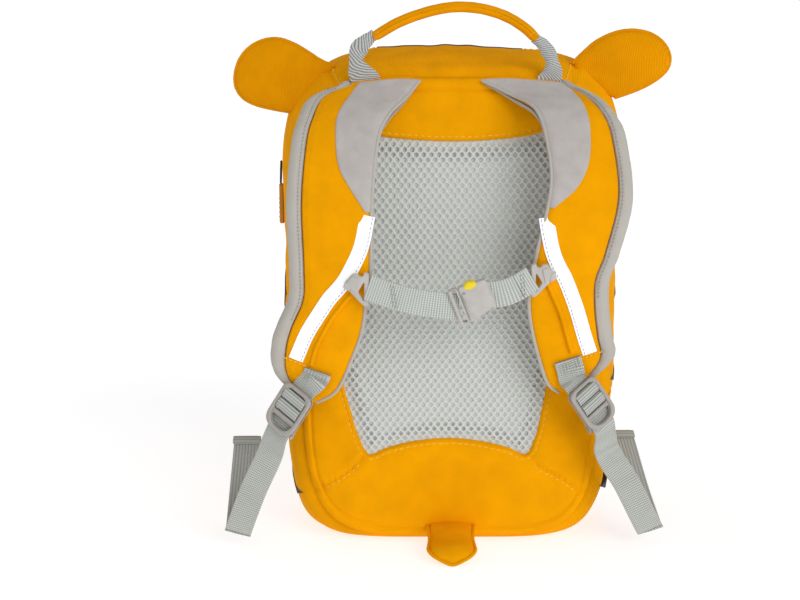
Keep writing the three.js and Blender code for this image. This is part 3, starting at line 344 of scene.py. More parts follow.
def heading(points, i):
    way = points[min(i + 1, len(points) - 1)] - points[max(i - 1, 0)]
    return way.normalized()


# Making meshes

def finish_mesh(name, vertices, faces, uvs, sharp=40):
    """An object from points in millimetres, faces and, where given, a flat place in metres for each point."""
    mesh = bpy.data.meshes.new(name)
    mesh.from_pydata([v * MM for v in vertices], [], faces)
    mesh.update()
    if uvs:
        layer = mesh.uv_layers.new(name="flat")
        for loop in mesh.loops:
            layer.data[loop.index].uv = uvs[loop.vertex_index]
    piece = placed(name, mesh)
    work = bmesh.new()
    work.from_mesh(mesh)
    bmesh.ops.remove_doubles(work, verts=work.verts, dist=1e-7)
    bmesh.ops.recalc_face_normals(work, faces=work.faces)
    work.to_mesh(mesh)
    work.free()
    mesh.shade_smooth()
    mesh.set_sharp_from_angle(angle=math.radians(sharp))
    return piece


class Shape:
    """Points, faces and flat places that several builders add to before one mesh is made."""

    def __init__(self):
        self.points, self.faces, self.uvs = [], [], []

    def grid(self, lines, wraps=False, flip=False):
        """Faces between lines of as many points each. Flat places follow the lengths along and across."""
        start = len(self.points)
        count = len(lines[0])
        v = 0.0
        previous = None
        for line in lines:
            if previous is not None:
                middle = count // 2
                v += (line[middle] - previous[middle]).length
            u = 0.0
            last = None
            for p in line:
                if last is not None:
                    u += (p - last).length
                self.points.append(p)
                self.uvs.append((u * MM, v * MM))
                last = p
            previous = line
        for i in range(len(lines) - 1):
            for j in range(count if wraps else count - 1):
                a = start + i * count + j
                b = start + i * count + (j + 1) % count
                face = (a, b, b + count, a + count)
                self.faces.append(face[::-1] if flip else face)
        return start

    def cap(self, start, count, flip=False):
        """A fan over a closed line that is already there."""
        middle = sum((self.points[start + j] for j in range(count)), Vector()) / count
        self.points.append(middle)
        self.uvs.append(self.uvs[start])
        for j in range(count):
            face = (len(self.points) - 1, start + j, start + (j + 1) % count)
            self.faces.append(face[::-1] if flip else face)

    def tube(self, sections):
        """A closed body through closed sections."""
        count = len(sections[0])
        start = self.grid(sections, wraps=True)
        self.cap(start, count)
        self.cap(start + (len(sections) - 1) * count, count, True)

    def slab(self, front, back, wraps=False):
        """A closed body between two grids of as many points."""
        count = len(front[0])
        first = self.grid(front, wraps)
        second = self.grid(back, wraps, True)
        last = (len(front) - 1) * count
        for j in range(count if wraps else count - 1):
            k = (j + 1) % count
            self.faces.append((first + j, second + j, second + k, first + k))
            self.faces.append((first + last + k, second + last + k, second + last + j, first + last + j))
        if not wraps:
            for i in range(len(front) - 1):
                a, b = i * count, (i + 1) * count
                self.faces.append((first + a, first + b, second + b, second + a))
                a, b = a + count - 1, b + count - 1
                self.faces.append((first + b, first + a, second + a, second + b))

    def piece(self, name, sharp=40):
        return finish_mesh(name, self.points, self.faces, self.uvs, sharp)


def round_line(centre, across, up, radius, sides, flat=1.0):
    return [
        centre + across * (radius * math.cos(2 * math.pi * k / sides))
        + up * (radius * flat * math.sin(2 * math.pi * k / sides))
        for k in range(sides)
    ]


def cording(shape, points, ups, radius, sides=8, crinkle=0.0):
    """A round piping along a run of points."""
    sections = []
    for i, p in enumerate(points):
        way = heading(points, i)
        side = way.cross(ups[i]).normalized()
        up = side.cross(way)
        size = radius * (1 + crinkle * rough(i * 0.37, radius))
        sections.append(round_line(p, side, up, size, sides))
    shape.tube(sections)


STITCH, STITCH_PITCH, STITCH_THICK = 3.0, 4.4, 0.42


def stitch_row(shape, points, ups, length=STITCH, pitch=STITCH_PITCH, thick=STITCH_THICK, sides=5):
    """Stitches along a run of points: short threads that dive into the cloth at both ends."""
    total = length_of(points)
    fine = max(int(total / 0.5), 8)
    line = even(points, fine)
    up_line = even(ups, fine) if len(ups) == len(points) else None
    count = int(total / pitch)
    for k in range(count):
        middle = (k + 0.5) * total / count
        sections = []
        for t in (-0.5, -0.36, -0.12, 0.12, 0.36, 0.5):
            at = clamp((middle + t * length) / total * fine, 0, fine - 1e-3)
            i = int(at)
            p = line[i].lerp(line[i + 1], at - i)
            up = (up_line[i] if up_line else ups[0]).normalized()
            way = heading(line, i)
            side = way.cross(up).normalized()
            rise = thick * 0.9 * (1 - (2 * abs(t)) ** 3 * 1.6)
            size = thick * (1 - (2 * abs(t)) ** 4 * 0.55)
            sections.append(round_line(p + up * rise, side, up, size, sides, 0.75))
        shape.tube(sections)


# Materials

def colour(red, green, blue):
    """A colour as it is seen on screen, as the shader wants it."""
    def linear(value):
        value /= 255
        return value / 12.92 if value <= 0.04045 else ((value + 0.055) / 1.055) ** 2.4
    return (linear(red), linear(green), linear(blue), 1.0)


class Look:
    """A material's nodes, with short ways to add them."""

    def __init__(self, name, tint, roughness, **shader):
        self.material = bpy.data.materials.new(name)
        self.material.use_nodes = True
        self.nodes = self.material.node_tree.nodes
        self.links = self.material.node_tree.links
        self.shader = self.nodes["Principled BSDF"]
        self.shader.inputs["Base Color"].default_value = tint
        self.shader.inputs["Roughness"].default_value = roughness
        for key, value in shader.items():
            self.shader.inputs[key.replace("_", " ")].default_value = value
        self.height = None

    def add(self, kind, settings=(), **inputs):
        node = self.nodes.new(kind)
        for key, value in dict(settings).items():
            setattr(node, key, value)
        for key, value in inputs.items():
            socket = node.inputs[key.replace("_", " ")]
            if isinstance(value, bpy.types.NodeSocket):
                self.links.new(value, socket)
            else:
                socket.default_value = value
        return node

    def place(self, flat, turn=0.0):
        """Coordinates in millimetres: the flat ones of the mesh, or the piece's own."""
        source = self.add("ShaderNodeTexCoord").outputs["UV" if flat else "Object"]
        mapping = self.add("ShaderNodeMapping", Vector=source)
        mapping.inputs["Scale"].default_value = (1 / MM, 1 / MM, 1 / MM)
        mapping.inputs["Rotation"].default_value = (0, 0, turn)
        return mapping.outputs["Vector"]

    def noise(self, where, scale, detail=3.0, roughness=0.55):
        return self.add(
            "ShaderNodeTexNoise", Vector=where, Scale=scale, Detail=detail, Roughness=roughness,
        ).outputs["Fac"]

    def wave(self, where, pitch, distortion=0.0):
        """Bands across X of where, one for each pitch in millimetres."""
        node = self.add(
            "ShaderNodeTexWave", {"wave_type": "BANDS", "bands_direction": "X", "wave_profile": "SIN"},
            Vector=where, Scale=math.pi * 2 / 20 / pitch, Distortion=distortion,
        )
        return node.outputs["Fac"]

    def maths(self, operation, a, b=0.0):
        node = self.add("ShaderNodeMath", {"operation": operation})
        for socket, value in zip(node.inputs, (a, b)):
            if isinstance(value, bpy.types.NodeSocket):
                self.links.new(value, socket)
            else:
                socket.default_value = value
        return node.outputs[0]

    def blend(self, a, a_share, b, b_share):
        return self.maths("ADD", self.maths("MULTIPLY", a, a_share), self.maths("MULTIPLY", b, b_share))

    def tint(self, factor, low, high, at=(0.3, 0.7)):
        """Base colour from low to high as factor goes between two values."""
        ramp = self.add("ShaderNodeValToRGB", Fac=factor)
        ramp.color_ramp.elements[0].position = at[0]
        ramp.color_ramp.elements[0].color = low
        ramp.color_ramp.elements[1].position = at[1]
        ramp.color_ramp.elements[1].color = high
        self.links.new(ramp.outputs["Color"], self.shader.inputs["Base Color"])

    def bump(self, height, distance, strength=1.0):
        """Relief of a height from 0 to 1, over what is there already. distance in millimetres."""
        node = self.add("ShaderNodeBump", Height=height, Distance=distance * MM, Strength=strength)
        if self.height:
            self.links.new(self.height, node.inputs["Normal"])
        self.height = node.outputs["Normal"]
        self.links.new(self.height, self.shader.inputs["Normal"])

    def rough_by(self, factor, low, high):
        node = self.add("ShaderNodeMapRange", Value=factor)
        node.inputs["To Min"].default_value = low
        node.inputs["To Max"].default_value = high
        self.links.new(node.outputs["Result"], self.shader.inputs["Roughness"])


TWILL_TURN = 0.78


def shade(tint, by):
    return (tint[0] * by, tint[1] * by, tint[2] * by, 1.0)


def cloth(name, tint, flat=True, pitch=0.9, relief=0.12, contrast=0.19, roughness=0.9, gloss=0.05):
    """Twill: fine diagonal bands broken by threads, with uneven dye and a little fluff."""
    look = Look(name, tint, roughness, Specular_IOR_Level=gloss)
    twill = look.wave(look.place(flat, TWILL_TURN), pitch)
    thread = look.wave(look.place(flat, 0.0), pitch * 0.7)
    weave = look.blend(twill, 0.65, thread, 0.35)
    dye = look.noise(look.place(False), 0.05, 4.0)
    fluff = look.noise(look.place(False), 1.3, 2.0)
    tone = look.blend(weave, 0.45, dye, 0.55)
    look.tint(tone, shade(tint, 1 - contrast), shade(tint, 1 + contrast * 0.6), (0.25, 0.75))
    look.bump(weave, relief)
    look.bump(fluff, relief * 0.7)
    look.rough_by(dye, roughness - 0.05, roughness + 0.08)
    return look.material


def ribbed(name, tint, pitch=2.2, relief=0.18, lengthwise=False, tilt=0.0, contrast=0.4, fine=0.9):
    """Webbing: thick ribs under fine threads. Flat places run across in U, along in V."""
    look = Look(name, tint, 0.85, Specular_IOR_Level=0.25)
    way = 0.0 if lengthwise else math.pi / 2
    ribs = look.wave(look.place(True, way + tilt), pitch)
    threads = look.wave(look.place(True, way + math.pi / 2), fine)
    weave = look.blend(ribs, 0.66, threads, 0.34)
    dye = look.noise(look.place(False), 0.09, 4.0)
    tone = look.blend(weave, 0.84, dye, 0.16)
    look.tint(tone, shade(tint, 1 - contrast), shade(tint, 1 + contrast * 0.75), (0.12, 0.8))
    look.bump(weave, relief)
    look.bump(look.noise(look.place(False), 2.2, 2.0), 0.06)
    return look.material


def moulded(name, tint, roughness=0.42, grain=0.03):
    """Moulded plastic: faint grain, slight wear and uneven gloss."""
    look = Look(name, tint, roughness, Specular_IOR_Level=0.45)
    wear = look.noise(look.place(False), 0.12, 5.0)
    fine = look.noise(look.place(False), 3.5, 3.0)
    look.tint(wear, shade(tint, 0.9), shade(tint, 1.08))
    look.rough_by(look.noise(look.place(False), 0.4, 4.0), roughness - 0.07, roughness + 0.1)
    look.bump(fine, grain)
    return look.material


def napped(name, tint):
    """Suede: a soft nap with brushed patches."""
    look = Look(name, tint, 0.95, Sheen_Weight=0.2, Sheen_Roughness=0.6)
    patches = look.noise(look.place(False), 0.09, 5.0, 0.6)
    nap = look.noise(look.place(False), 1.6, 4.0, 0.7)
    tone = look.blend(patches, 0.6, nap, 0.4)
    look.tint(tone, shade(tint, 0.84), shade(tint, 1.1), (0.32, 0.68))
    look.bump(nap, 0.22)
    look.bump(patches, 0.5, 0.5)
    return look.material


def thread(name, tint):
    look = Look(name, tint, 0.7, Specular_IOR_Level=0.2)
    twist = look.wave(look.place(False, 0.6), 0.5)
    look.tint(twist, shade(tint, 0.82), shade(tint, 1.05))
    look.bump(twist, 0.05)
    return look.material


def reflective():
    """Reflective tape: a smooth skin over a fine grid of beads, with a faint glow as a painted highlight."""
    tint = colour(243, 245, 250)
    # the emission is painted light: the tape glows a little to stay near white
    look = Look(
        "reflective tape with painted glow", tint, 0.32, Coat_Weight=0.25, Coat_Roughness=0.2,
        Emission_Color=tint, Emission_Strength=0.28,
    )
    across, along = (look.wave(look.place(True, turn), 0.8) for turn in (0.0, math.pi / 2))
    grid = look.maths("MULTIPLY", across, along)
    dirt = look.noise(look.place(False), 0.15, 4.0)
    tone = look.blend(grid, 0.3, dirt, 0.7)
    look.tint(tone, shade(tint, 0.92), shade(tint, 1.04))
    look.bump(grid, 0.03)
    look.rough_by(dirt, 0.26, 0.42)
    return look.material


def spacer_cloth(name, tint, relief=0.12):
    """Knitted spacer mesh, between its holes."""
    look = Look(name, tint, 0.9, Specular_IOR_Level=0.2)
    knit = look.wave(look.place(False, 0.0), 0.55, 1.5)
    loops = look.noise(look.place(False), 1.4, 3.0)
    tone = look.blend(knit, 0.4, loops, 0.6)
    look.tint(tone, shade(tint, 0.85), shade(tint, 1.08))
    look.bump(loops, relief)
    return look.material


YELLOW = colour(243, 164, 0)
MATERIALS = {
    "yellow": cloth("yellow twill", YELLOW),
    "puffed": cloth("yellow twill on padded parts", YELLOW, flat=False),
    # the ears take a darker copy of the yellow twill: painted shade
    "ear": cloth("yellow twill on the ears, painted darker as shade", colour(228, 149, 0), flat=False),
    "grip": cloth("yellow plain weave", colour(238, 154, 0), pitch=0.7),
    "dark": cloth("dark grey twill", colour(92, 93, 98), contrast=0.2),
    "zip": ribbed("zip tape", colour(70, 71, 75), 0.7, 0.1, contrast=0.2),
    "teeth": moulded("zip teeth", colour(60, 61, 64), 0.35),
    "metal": moulded("painted zip slider", colour(78, 78, 82), 0.3, 0.01),
    "lining": cloth(
        "grey strap lining", colour(186, 182, 173), pitch=0.7, relief=0.1, contrast=0.12, gloss=0.3,
    ),
    "webbing": ribbed("grey webbing", colour(176, 179, 173), 1.6, fine=1.25, contrast=0.42),
    # a darker copy of the grey webbing for the free ends and their rolled hems: painted shade
    "webbing_long_shaded": ribbed(
        "grey webbing, ribs lengthwise, painted darker as shade", colour(160, 163, 158), lengthwise=True, contrast=0.3,
    ),
    "webbing_fine": ribbed("grey chest webbing", colour(186, 190, 185), 1.7, fine=1.5, contrast=0.35),
    "webbing_bold": ribbed(
        "grey haul loop webbing", colour(176, 178, 176), 1.5, tilt=0.5, contrast=0.66, fine=0.7,
    ),
    "suede": napped("grey suede", colour(184, 178, 174)),
    "spacer": spacer_cloth("spacer mesh", colour(210, 213, 209)),
    # the inside layer is tinted darker than the face: painted shade in the holes
    "spacer_back_shaded": spacer_cloth("inside of the spacer mesh, painted darker as shade", colour(200, 203, 200)),
    "reflective": reflective(),
    "plastic": moulded("warm grey plastic", colour(168, 163, 156)),
    "plastic_pale": moulded("pale warm grey plastic", colour(186, 182, 176)),
    "button": moulded("yellow plastic", colour(240, 214, 22), 0.35),
    "pull": moulded("yellow-brown moulded pull", colour(196, 134, 20), 0.55, 0.08),
    "cord": thread("dark pull cord", colour(60, 58, 56)),
    "thread": thread("yellow thread", colour(250, 200, 62)),
    "thread_grey": thread("grey thread", colour(165, 162, 158)),
    "thread_dark": thread("blue-grey thread", colour(150, 158, 172)),
    "satin": cloth("satin seam binding", colour(226, 132, 92), pitch=0.5, relief=0.05, roughness=0.45),
}


def dress(piece, material, slot=None, *nodes):
    """Gives a piece its material, its place on the body and the solids that it stands for. slot is not used.
    """
    piece.data.materials.clear()
    piece.data.materials.append(MATERIALS[material])
    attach(piece, "root")
    if nodes:
        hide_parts(*nodes)
    return piece


# Camera, light and floor

FLOOR_SIZE = 150.0
FLOOR_GLOW = 0.7
AMBIENT = 0.42
LAMPS = (("key", (0.8, -1.3, 0.7), 1.3, 40), ("fill", (-1.2, 0.3, 1.4), 0.35, 90))
CAMERA_PLACE, CAMERA_TILT, CAMERA_LENS, CAMERA_SENSOR = (-0.036, -1.17, 0.38), 79.5, 72, 36


def stage():
    floor_mesh = bpy.data.meshes.new("floor")
    size = FLOOR_SIZE
    corners = [(-size, -size, 0), (size, -size, 0), (size, size, 0), (-size, size, 0)]
    floor_mesh.from_pydata(corners, [], [(0, 1, 2, 3)])
    floor = placed("floor", floor_mesh)
    floor.location.z = -0.0003
    white = (1, 1, 1, 1)
    look = Look("white floor", colour(185, 185, 187), 0.9, Emission_Color=white, Emission_Strength=FLOOR_GLOW)
    look.tint(look.noise(look.place(False), 0.004, 3.0), colour(182, 182, 184), colour(188, 188, 190))
    floor_mesh.materials.append(look.material)

    world = bpy.data.worlds.new("studio")
    world.use_nodes = True
    nodes, links = world.node_tree.nodes, world.node_tree.links
    background = nodes["Background"]
    background.inputs["Color"].default_value = white
    seen = nodes.new("ShaderNodeLightPath")
    strength = nodes.new("ShaderNodeMapRange")
    strength.inputs["To Min"].default_value = AMBIENT
    strength.inputs["To Max"].default_value = 1.0
    links.new(seen.outputs["Is Camera Ray"], strength.inputs["Value"])
    links.new(strength.outputs["Result"], background.inputs["Strength"])
    bpy.context.scene.world = world
    bpy.context.scene.view_settings.view_transform = "Standard"

    for name, place, energy, wide in LAMPS:
        light = bpy.data.lights.new(name, "SUN")
        light.energy = energy
        light.angle = math.radians(wide)
        lamp = placed(name, light)
        lamp.location = place
        lamp.rotation_euler = (-Vector(place)).to_track_quat("-Z", "Y").to_euler()

    camera_data = bpy.data.cameras.new("camera")
    camera_data.lens = CAMERA_LENS
    camera_data.sensor_width = CAMERA_SENSOR
    camera = placed("camera", camera_data)
    camera.location = CAMERA_PLACE
    camera.rotation_euler = (math.radians(CAMERA_TILT), 0, 0)
    bpy.context.scene.camera = camera


stage()


# The bag's form

girth_cache = {}


def girth(along):
    key = round(along, 5)
    if key not in girth_cache:
        names = ("side", "top", "bottom", "corner")
        girth_cache[key] = {name: column(GIRTH, "along", name, along) for name in names}
    return girth_cache[key]


def skin(angle, along):
    """A point of the bag's skin by its direction from the middle, 0 being +X, and its depth."""
    g = girth(clamp(along, 0, 1))
    c, s = math.cos(angle), math.sin(angle)
    power = TOP_POWER if s > 0 else g["corner"]
    k = (abs(c) ** power + abs(s) ** power) ** (-1 / power)
    up = MIDDLE * (1 - 2 * g["top"])
    down = MIDDLE * (1 - 2 * g["bottom"]) + SETTLE
    x = HALF * (1 - 2 * g["side"]) * k * c
    z = MIDDLE + (up if s > 0 else down) * k * s
    return Vector((x, BACK_SEAM + along * DEPTH, max(z, 0.0)))


def skin_normal(angle, along):
    d = 0.008
    round_way = skin(angle + d, along) - skin(angle - d, along)
    deep_way = skin(angle, min(along + d, 1)) - skin(angle, max(along - d, 0))
    return deep_way.cross(round_way).normalized()


def side_angle(share, side):
    """Direction of a place on the bag's side, by its share of the height."""
    rise = (share - 0.5) * 2
    power = TOP_POWER if rise > 0 else 8
    reach = (1 - min(abs(rise), 0.999) ** power) ** (1 / power)
    up = math.atan2(rise, reach)
    return up if side == "right" else math.pi - up


ARCH_END = side_angle(ZIP_END, "right")
TOP_SEAMS = (math.radians(128), math.radians(52.3))
ZIP_HALF = ZIP_WIDTH / 2 / DEPTH
ZIP_BACK, ZIP_FRONT = ZIP_PLACE - ZIP_HALF, ZIP_PLACE + ZIP_HALF
# the gusset swells at its shoulders and sinks at its lower corners
SWELLS = rows("angle wide high", (140, 0.24, 6.0), (42, 0.24, 9.5), (313, 0.28, -5.5), (221, 0.2, -2.2))
TURN_LENGTH = 150


def gusset_relief(angle, along):
    """How far the cloth stands off the skin, in millimetres: pinched at its seams and softly creased."""
    from_back = along * DEPTH
    from_front = (1 - along) * DEPTH
    relief = -2.6 * hump(from_back, 2.2) - 1.5 * hump(from_front, 1.6)
    relief += 1.5 * hump(from_back - 9, 5) + 0.7 * hump(from_front - 8, 5)
    between_seams = smooth(0.03, 0.3, along) * smooth(0.98, 0.72, along)
    for swell in SWELLS:
        relief += swell["high"] * hump(angle - math.radians(swell["angle"]), swell["wide"]) * between_seams
    on_floor = smooth(0.55, 0.85, -math.sin(angle))
    turn = angle * TURN_LENGTH
    soft = rough(math.cos(angle) * 3.2, math.sin(angle) * 3.2, along * 2.3)
    crease = rough(turn * 0.075, from_back * 0.022, 3.1)
    pucker = rough(turn * 0.21, 5.0) * (hump(from_back, 7) + hump(from_front, 7))
    for seam in TOP_SEAMS:
        off = (angle - seam) * TURN_LENGTH
        fold = 0.8 * hump(off - math.copysign(5, seam - 1.6), 3.5) - 1.3 * hump(off, 1.3)
        relief += fold * smooth(0.6, 0.35, along)
    for end in (ARCH_END, math.pi - ARCH_END):
        relief -= 0.9 * hump((angle - end) * TURN_LENGTH, 1.4)
    return relief + (1.3 * soft + 0.8 * crease - 0.5 + 0.5 * pucker) * (1 - on_floor)


def on_skin(angle, along, rise=0.0):
    p = skin(angle, along) + skin_normal(angle, along) * (gusset_relief(angle, along) + rise)
    return Vector((p.x, p.y, max(p.z, 0.0)))


def skin_patch(name, angles, depths, rise, thick):
    front = [[on_skin(angle, along, rise) for angle in angles] for along in depths]
    back = [[on_skin(angle, along, rise - thick) for angle in angles] for along in depths]
    shape = Shape()
    shape.slab(front, back)
    return shape.piece(name)


def seam_depths(start, end, step=3.6):
    """Depths between two seams, closer together near them."""
    near = [0, 0.8, 1.6, 2.6, 3.8, 5.4, 7.4]
    total = (end - start) * DEPTH
    middle = spread(near[-1], total - near[-1], max(int((total - 2 * near[-1]) / step), 2))[1:-1]
    return [start + d / DEPTH for d in near + middle + [total - d for d in reversed(near)]]


def gussets():
    arch = spread(ARCH_END, math.pi - ARCH_END, 230)
    low = spread(math.pi - ARCH_END + 0.002, 2 * math.pi + ARCH_END - 0.002, 150)
    edge = GAP / DEPTH
    back = seam_depths(edge, ZIP_BACK - edge)
    front = seam_depths(ZIP_FRONT + edge, 1 - edge)
    whole = seam_depths(edge, 1 - edge)
    for node, angles, depths in (
        ("gusset_back", arch, back), ("gusset_front", arch, front), ("gusset_bottom", low, whole),
    ):
        dress(skin_patch(f"{node}_cloth", angles, depths, 0, CLOTH), "yellow", "yellow_cloth", node)
    tape = spread(ZIP_BACK - 0.4 * edge, ZIP_FRONT + 0.4 * edge, 6)
    dress(skin_patch("zip_tape_cloth", arch, tape, -ZIP_INSET, 1.0), "zip", "zip_tape", "zip_tape")


def zip_teeth():
    """Two rows of coil turns that mesh along the middle of the zip tape."""
    shape = Shape()
    angles = spread(ARCH_END + 0.01, math.pi - ARCH_END - 0.01, 600)
    fine = [on_skin(a, ZIP_PLACE, -ZIP_INSET) for a in angles]
    ups = [skin_normal(a, ZIP_PLACE) for a in angles]
    count = int(length_of(fine) / 0.95)
    line = even(fine, count)
    up_line = even(ups, count)
    for i, p in enumerate(line):
        up = up_line[i].normalized()
        way = heading(line, i)
        side = DEEPER * (1 if i % 2 else -1)
        sections = []
        for reach, size, rise in ((-0.7, 0.3, 0.5), (-0.2, 0.52, 0.75), (0.9, 0.46, 0.75), (2.3, 0.42, 0.3)):
            sections.append(round_line(p + side * reach + up * rise, way, up, size, 5))
        shape.tube(sections)
    dress(shape.piece("zip_coil", 60), "teeth", "zip_metal")


gussets()
zip_teeth()


# Back and front panels

def skin_reach(x, z):
    """Distance from the middle of the back seam's outline to its edge, in the direction of a place."""
    g = girth(0)
    a = HALF * (1 - 2 * g["side"])
    b = MIDDLE * (1 - 2 * g["top"]) if z > 0 else MIDDLE * (1 - 2 * g["bottom"]) + SETTLE
    power = TOP_POWER if z > 0 else g["corner"]
    far = math.hypot(x, z) or 1e-6
    return far / ((abs(x) / a) ** power + (abs(z) / b) ** power) ** (1 / power)


def panel_share(place):
    z = place.z - MIDDLE
    return math.hypot(place.x, z) / skin_reach(place.x, z)


def panel_base(place):
    """Depth of the back panel's crowned face at a place, without its padding."""
    return BACK_SEAM - BACK_THICK - BACK_CROWN * (1 - min(panel_share(place), 1) ** 2.6)


def spacer_point(u, v):
    left = column(SPACER_ROWS, "height", "left", v) * HALF
    right = column(SPACER_ROWS, "height", "right", v) * HALF
    arch = 4 * u * (1 - u)
    low = HEIGHT * (SPACER_LOW + LOW_ARCH * arch)
    high = HEIGHT * (SPACER_HIGH - HIGH_SAG * arch)
    return mix(left, right, u), mix(low, high, v)


def spacer_outline(count, grow=0.0):
    """The spacer panel's outline as count points in X and Z, corners eased."""
    edge = [spacer_point(u, 0) for u in spread(0.03, 0.97, 30)]
    edge += [spacer_point(1, v) for v in spread(0.025, 0.975, 40)]
    edge += [spacer_point(1 - u, 1) for u in spread(0.03, 0.97, 30)]
    edge += [spacer_point(0, 1 - v) for v in spread(0.025, 0.975, 40)]
    points = through([Vector((x, 0, z)) for x, z in edge[::3]], count, True)
    if grow:
        grown = []
        for i, p in enumerate(points):
            way = points[(i + 1) % count] - points[i - 1]
            out = Vector((way.z, 0, -way.x)).normalized()
            grown.append(p + out * grow)
        points = grown
    return points


OUTLINE = spacer_outline(360)
PANEL_CENTRE = Vector((0, 0, HEIGHT * 0.505))


def tree_of(points):
    """A quick way to find the nearest of some points."""
    tree = kdtree.KDTree(len(points))
    for i, p in enumerate(points):
        tree.insert(p, i)
    tree.balance()
    return tree


OUTLINE_TREE = tree_of(OUTLINE)


def to_line(p, a, b):
    """Distance from a place to a stretch between two others."""
    way = b - a
    return (a + way * clamp((p - a).dot(way) / way.length_squared, 0, 1) - p).length


def from_edge(x, z):
    """Distance inside the spacer panel's outline, in millimetres."""
    place = Vector((x, 0, z))
    i = OUTLINE_TREE.find(place)[1]
    count = len(OUTLINE)
    here, ahead = OUTLINE[i], OUTLINE[(i + 1) % count]
    return min(to_line(place, OUTLINE[i - 1], here), to_line(place, here, ahead))


# The lower yellow panel's upper edge, from the mesh's lower corners out to the side seams
LOWER_SEAM = {
    "left": rows("x z", (-61, 67), (-72.4, 55), (-92.4, 41.7), (-112, 33)),
    "right": rows("x z", (56, 67), (61, 59.5), (76.8, 50.6), (88.4, 42.5), (110, 31)),
}
SEAM_LINES = {
    side: through([Vector((row["x"], 0, row["z"])) for row in table], 24)
    for side, table in LOWER_SEAM.items()
}


def lower_seam(x, z):
    """Distance to the nearer lower seam, and 1 under it or -1 over it."""
    line = SEAM_LINES["left" if x < 0 else "right"]
    place = Vector((x, 0, z))
    near = min(range(len(line) - 1), key=lambda i: to_line(place, line[i], line[i + 1]))
    way = line[near + 1] - line[near]
    turn = way.x * (place.z - line[near].z) - way.z * (place.x - line[near].x)
    return to_line(place, line[near], line[near + 1]), 1 if (turn < 0) == (way.x > 0) else -1


DIMPLES = rows(
    "x z wide deep",
    (-92, 40, 15, 3.0), (-78, 22, 9, 1.2), (86, 62, 14, 2.6), (70, 28, 10, 1.6),
    (-96, 120, 13, 1.2), (4, 38, 22, 0.8),
)


def panel_rise(x, z, inner, outer):
    """How far the padded yellow panel stands off its solid, by the distances to its two edges."""
    # the inner edge is folded under, stitched down, and the padding fills out beside it
    rise = 3.4 - 2.2 * (1 - smooth(0, 1.6, inner)) - 0.7 * hump(inner - 3.1, 1.0)
    rise += 0.8 * hump(inner - 10, 6)
    # the padding ends at the outer seam
    rise *= smooth(-2, 26, outer) * 0.8 + 0.2
    roll = clamp(1 - outer / 5.5, 0, 1)
    rise -= 4.4 * (1 - math.sqrt(max(1 - roll * roll, 0))) + 1.2 * hump(outer - 7.5, 1.4)
    for d in DIMPLES:
        rise -= d["deep"] * hump(math.hypot(x - d["x"], z - d["z"]), d["wide"]) * smooth(0, 6, inner)
    if z < 80 and abs(x) > 45:
        off, under = lower_seam(x, z)
        beyond = smooth(0, 3, inner)
        rise -= (1.5 * hump(off, 0.9) - 0.5 * hump(off - 4, 3)) * beyond
        rise -= 0.5 * hump(off - 2.2, 0.7) * (under > 0) * beyond
        rise += 0.4 * rough((x + z) * 0.3, 3.0) * hump(off - 5, 4) * beyond
    soft = rough(x * 0.03, z * 0.03, 1.7) * 0.9 + rough(x * 0.09, z * 0.06, 4.4) * 0.35
    pucker = rough(math.atan2(z - MIDDLE, x) * 26, 1.0, 2.0)
    rise += soft * smooth(1, 9, inner) * smooth(0, 9, outer)
    rise += 0.35 * pucker * (hump(inner - 4, 4) + hump(outer - 6, 5))
    return rise


def back_panel():
    outer = []
    for p in OUTLINE:
        way = p - PANEL_CENTRE
        low, high = 0.5, 6.0
        for _ in range(30):
            t = (low + high) / 2
            low, high = (t, high) if panel_share(PANEL_CENTRE + way * t) < 1 else (low, t)
        outer.append(PANEL_CENTRE + way * low)
    shares = [0.0, 0.012, 0.026, 0.045, 0.07, 0.1, 0.135, 0.18] + spread(0.21, 0.865, 30)
    shares += [0.885, 0.905, 0.925, 0.945, 0.96, 0.972, 0.982, 0.991, 1.0]
    front, back = [], []
    for t in shares:
        line, under = [], []
        for p, q in zip(OUTLINE, outer):
            place = p.lerp(q, t)
            base = panel_base(place)
            rise = panel_rise(place.x, place.z, from_edge(place.x, place.z), (q - place).length)
            line.append(Vector((place.x, base - rise, place.z)))
            under.append(Vector((place.x, max(base - rise + 1.6, base + BACK_THICK - 0.6 * t), place.z)))
        front.append(line)
        back.append(under)
    shape = Shape()
    shape.slab(front, back, True)
    shape.uvs = [(p.x * MM, p.z * MM) for p in shape.points]
    piece = dress(shape.piece("back_panel_padding"), "yellow", "yellow_cloth", "back_panel")


HOLE_WIDE, HOLE_HIGH = 5.2, 3.5
HOLE_RIM = (
    (0, -2.716), (1.3, -1.75), (2.6, -0.784), (2.6, 0), (2.6, 0.784), (1.3, 1.75),
    (0, 2.716), (-1.3, 1.75), (-2.6, 0.784), (-2.6, 0), (-2.6, -0.784), (-1.3, -1.75),
)


def spacer_front(x, z):
    """Face of the spacer mesh: it sinks at its edges, under the folded cloth."""
    edge = from_edge(x, z)
    sink = 2.4 * (1 - smooth(0, 9, edge))
    soft = 0.35 * rough(x * 0.035, z * 0.035, 9.0)
    return panel_base(Vector((x, 0, z))) - GAP - SPACER_THICK + sink - soft


WIDER_OUTLINE = spacer_outline(360, 2.4)


def inside_outline(x, z):
    crossings = 0
    for a, b in zip(WIDER_OUTLINE[::4], WIDER_OUTLINE[4::4] + [WIDER_OUTLINE[0]]):
        if (a.z > z) != (b.z > z) and x < mix(a.x, b.x, (z - a.z) / (b.z - a.z)):
            crossings += 1
    return crossings % 2 == 1


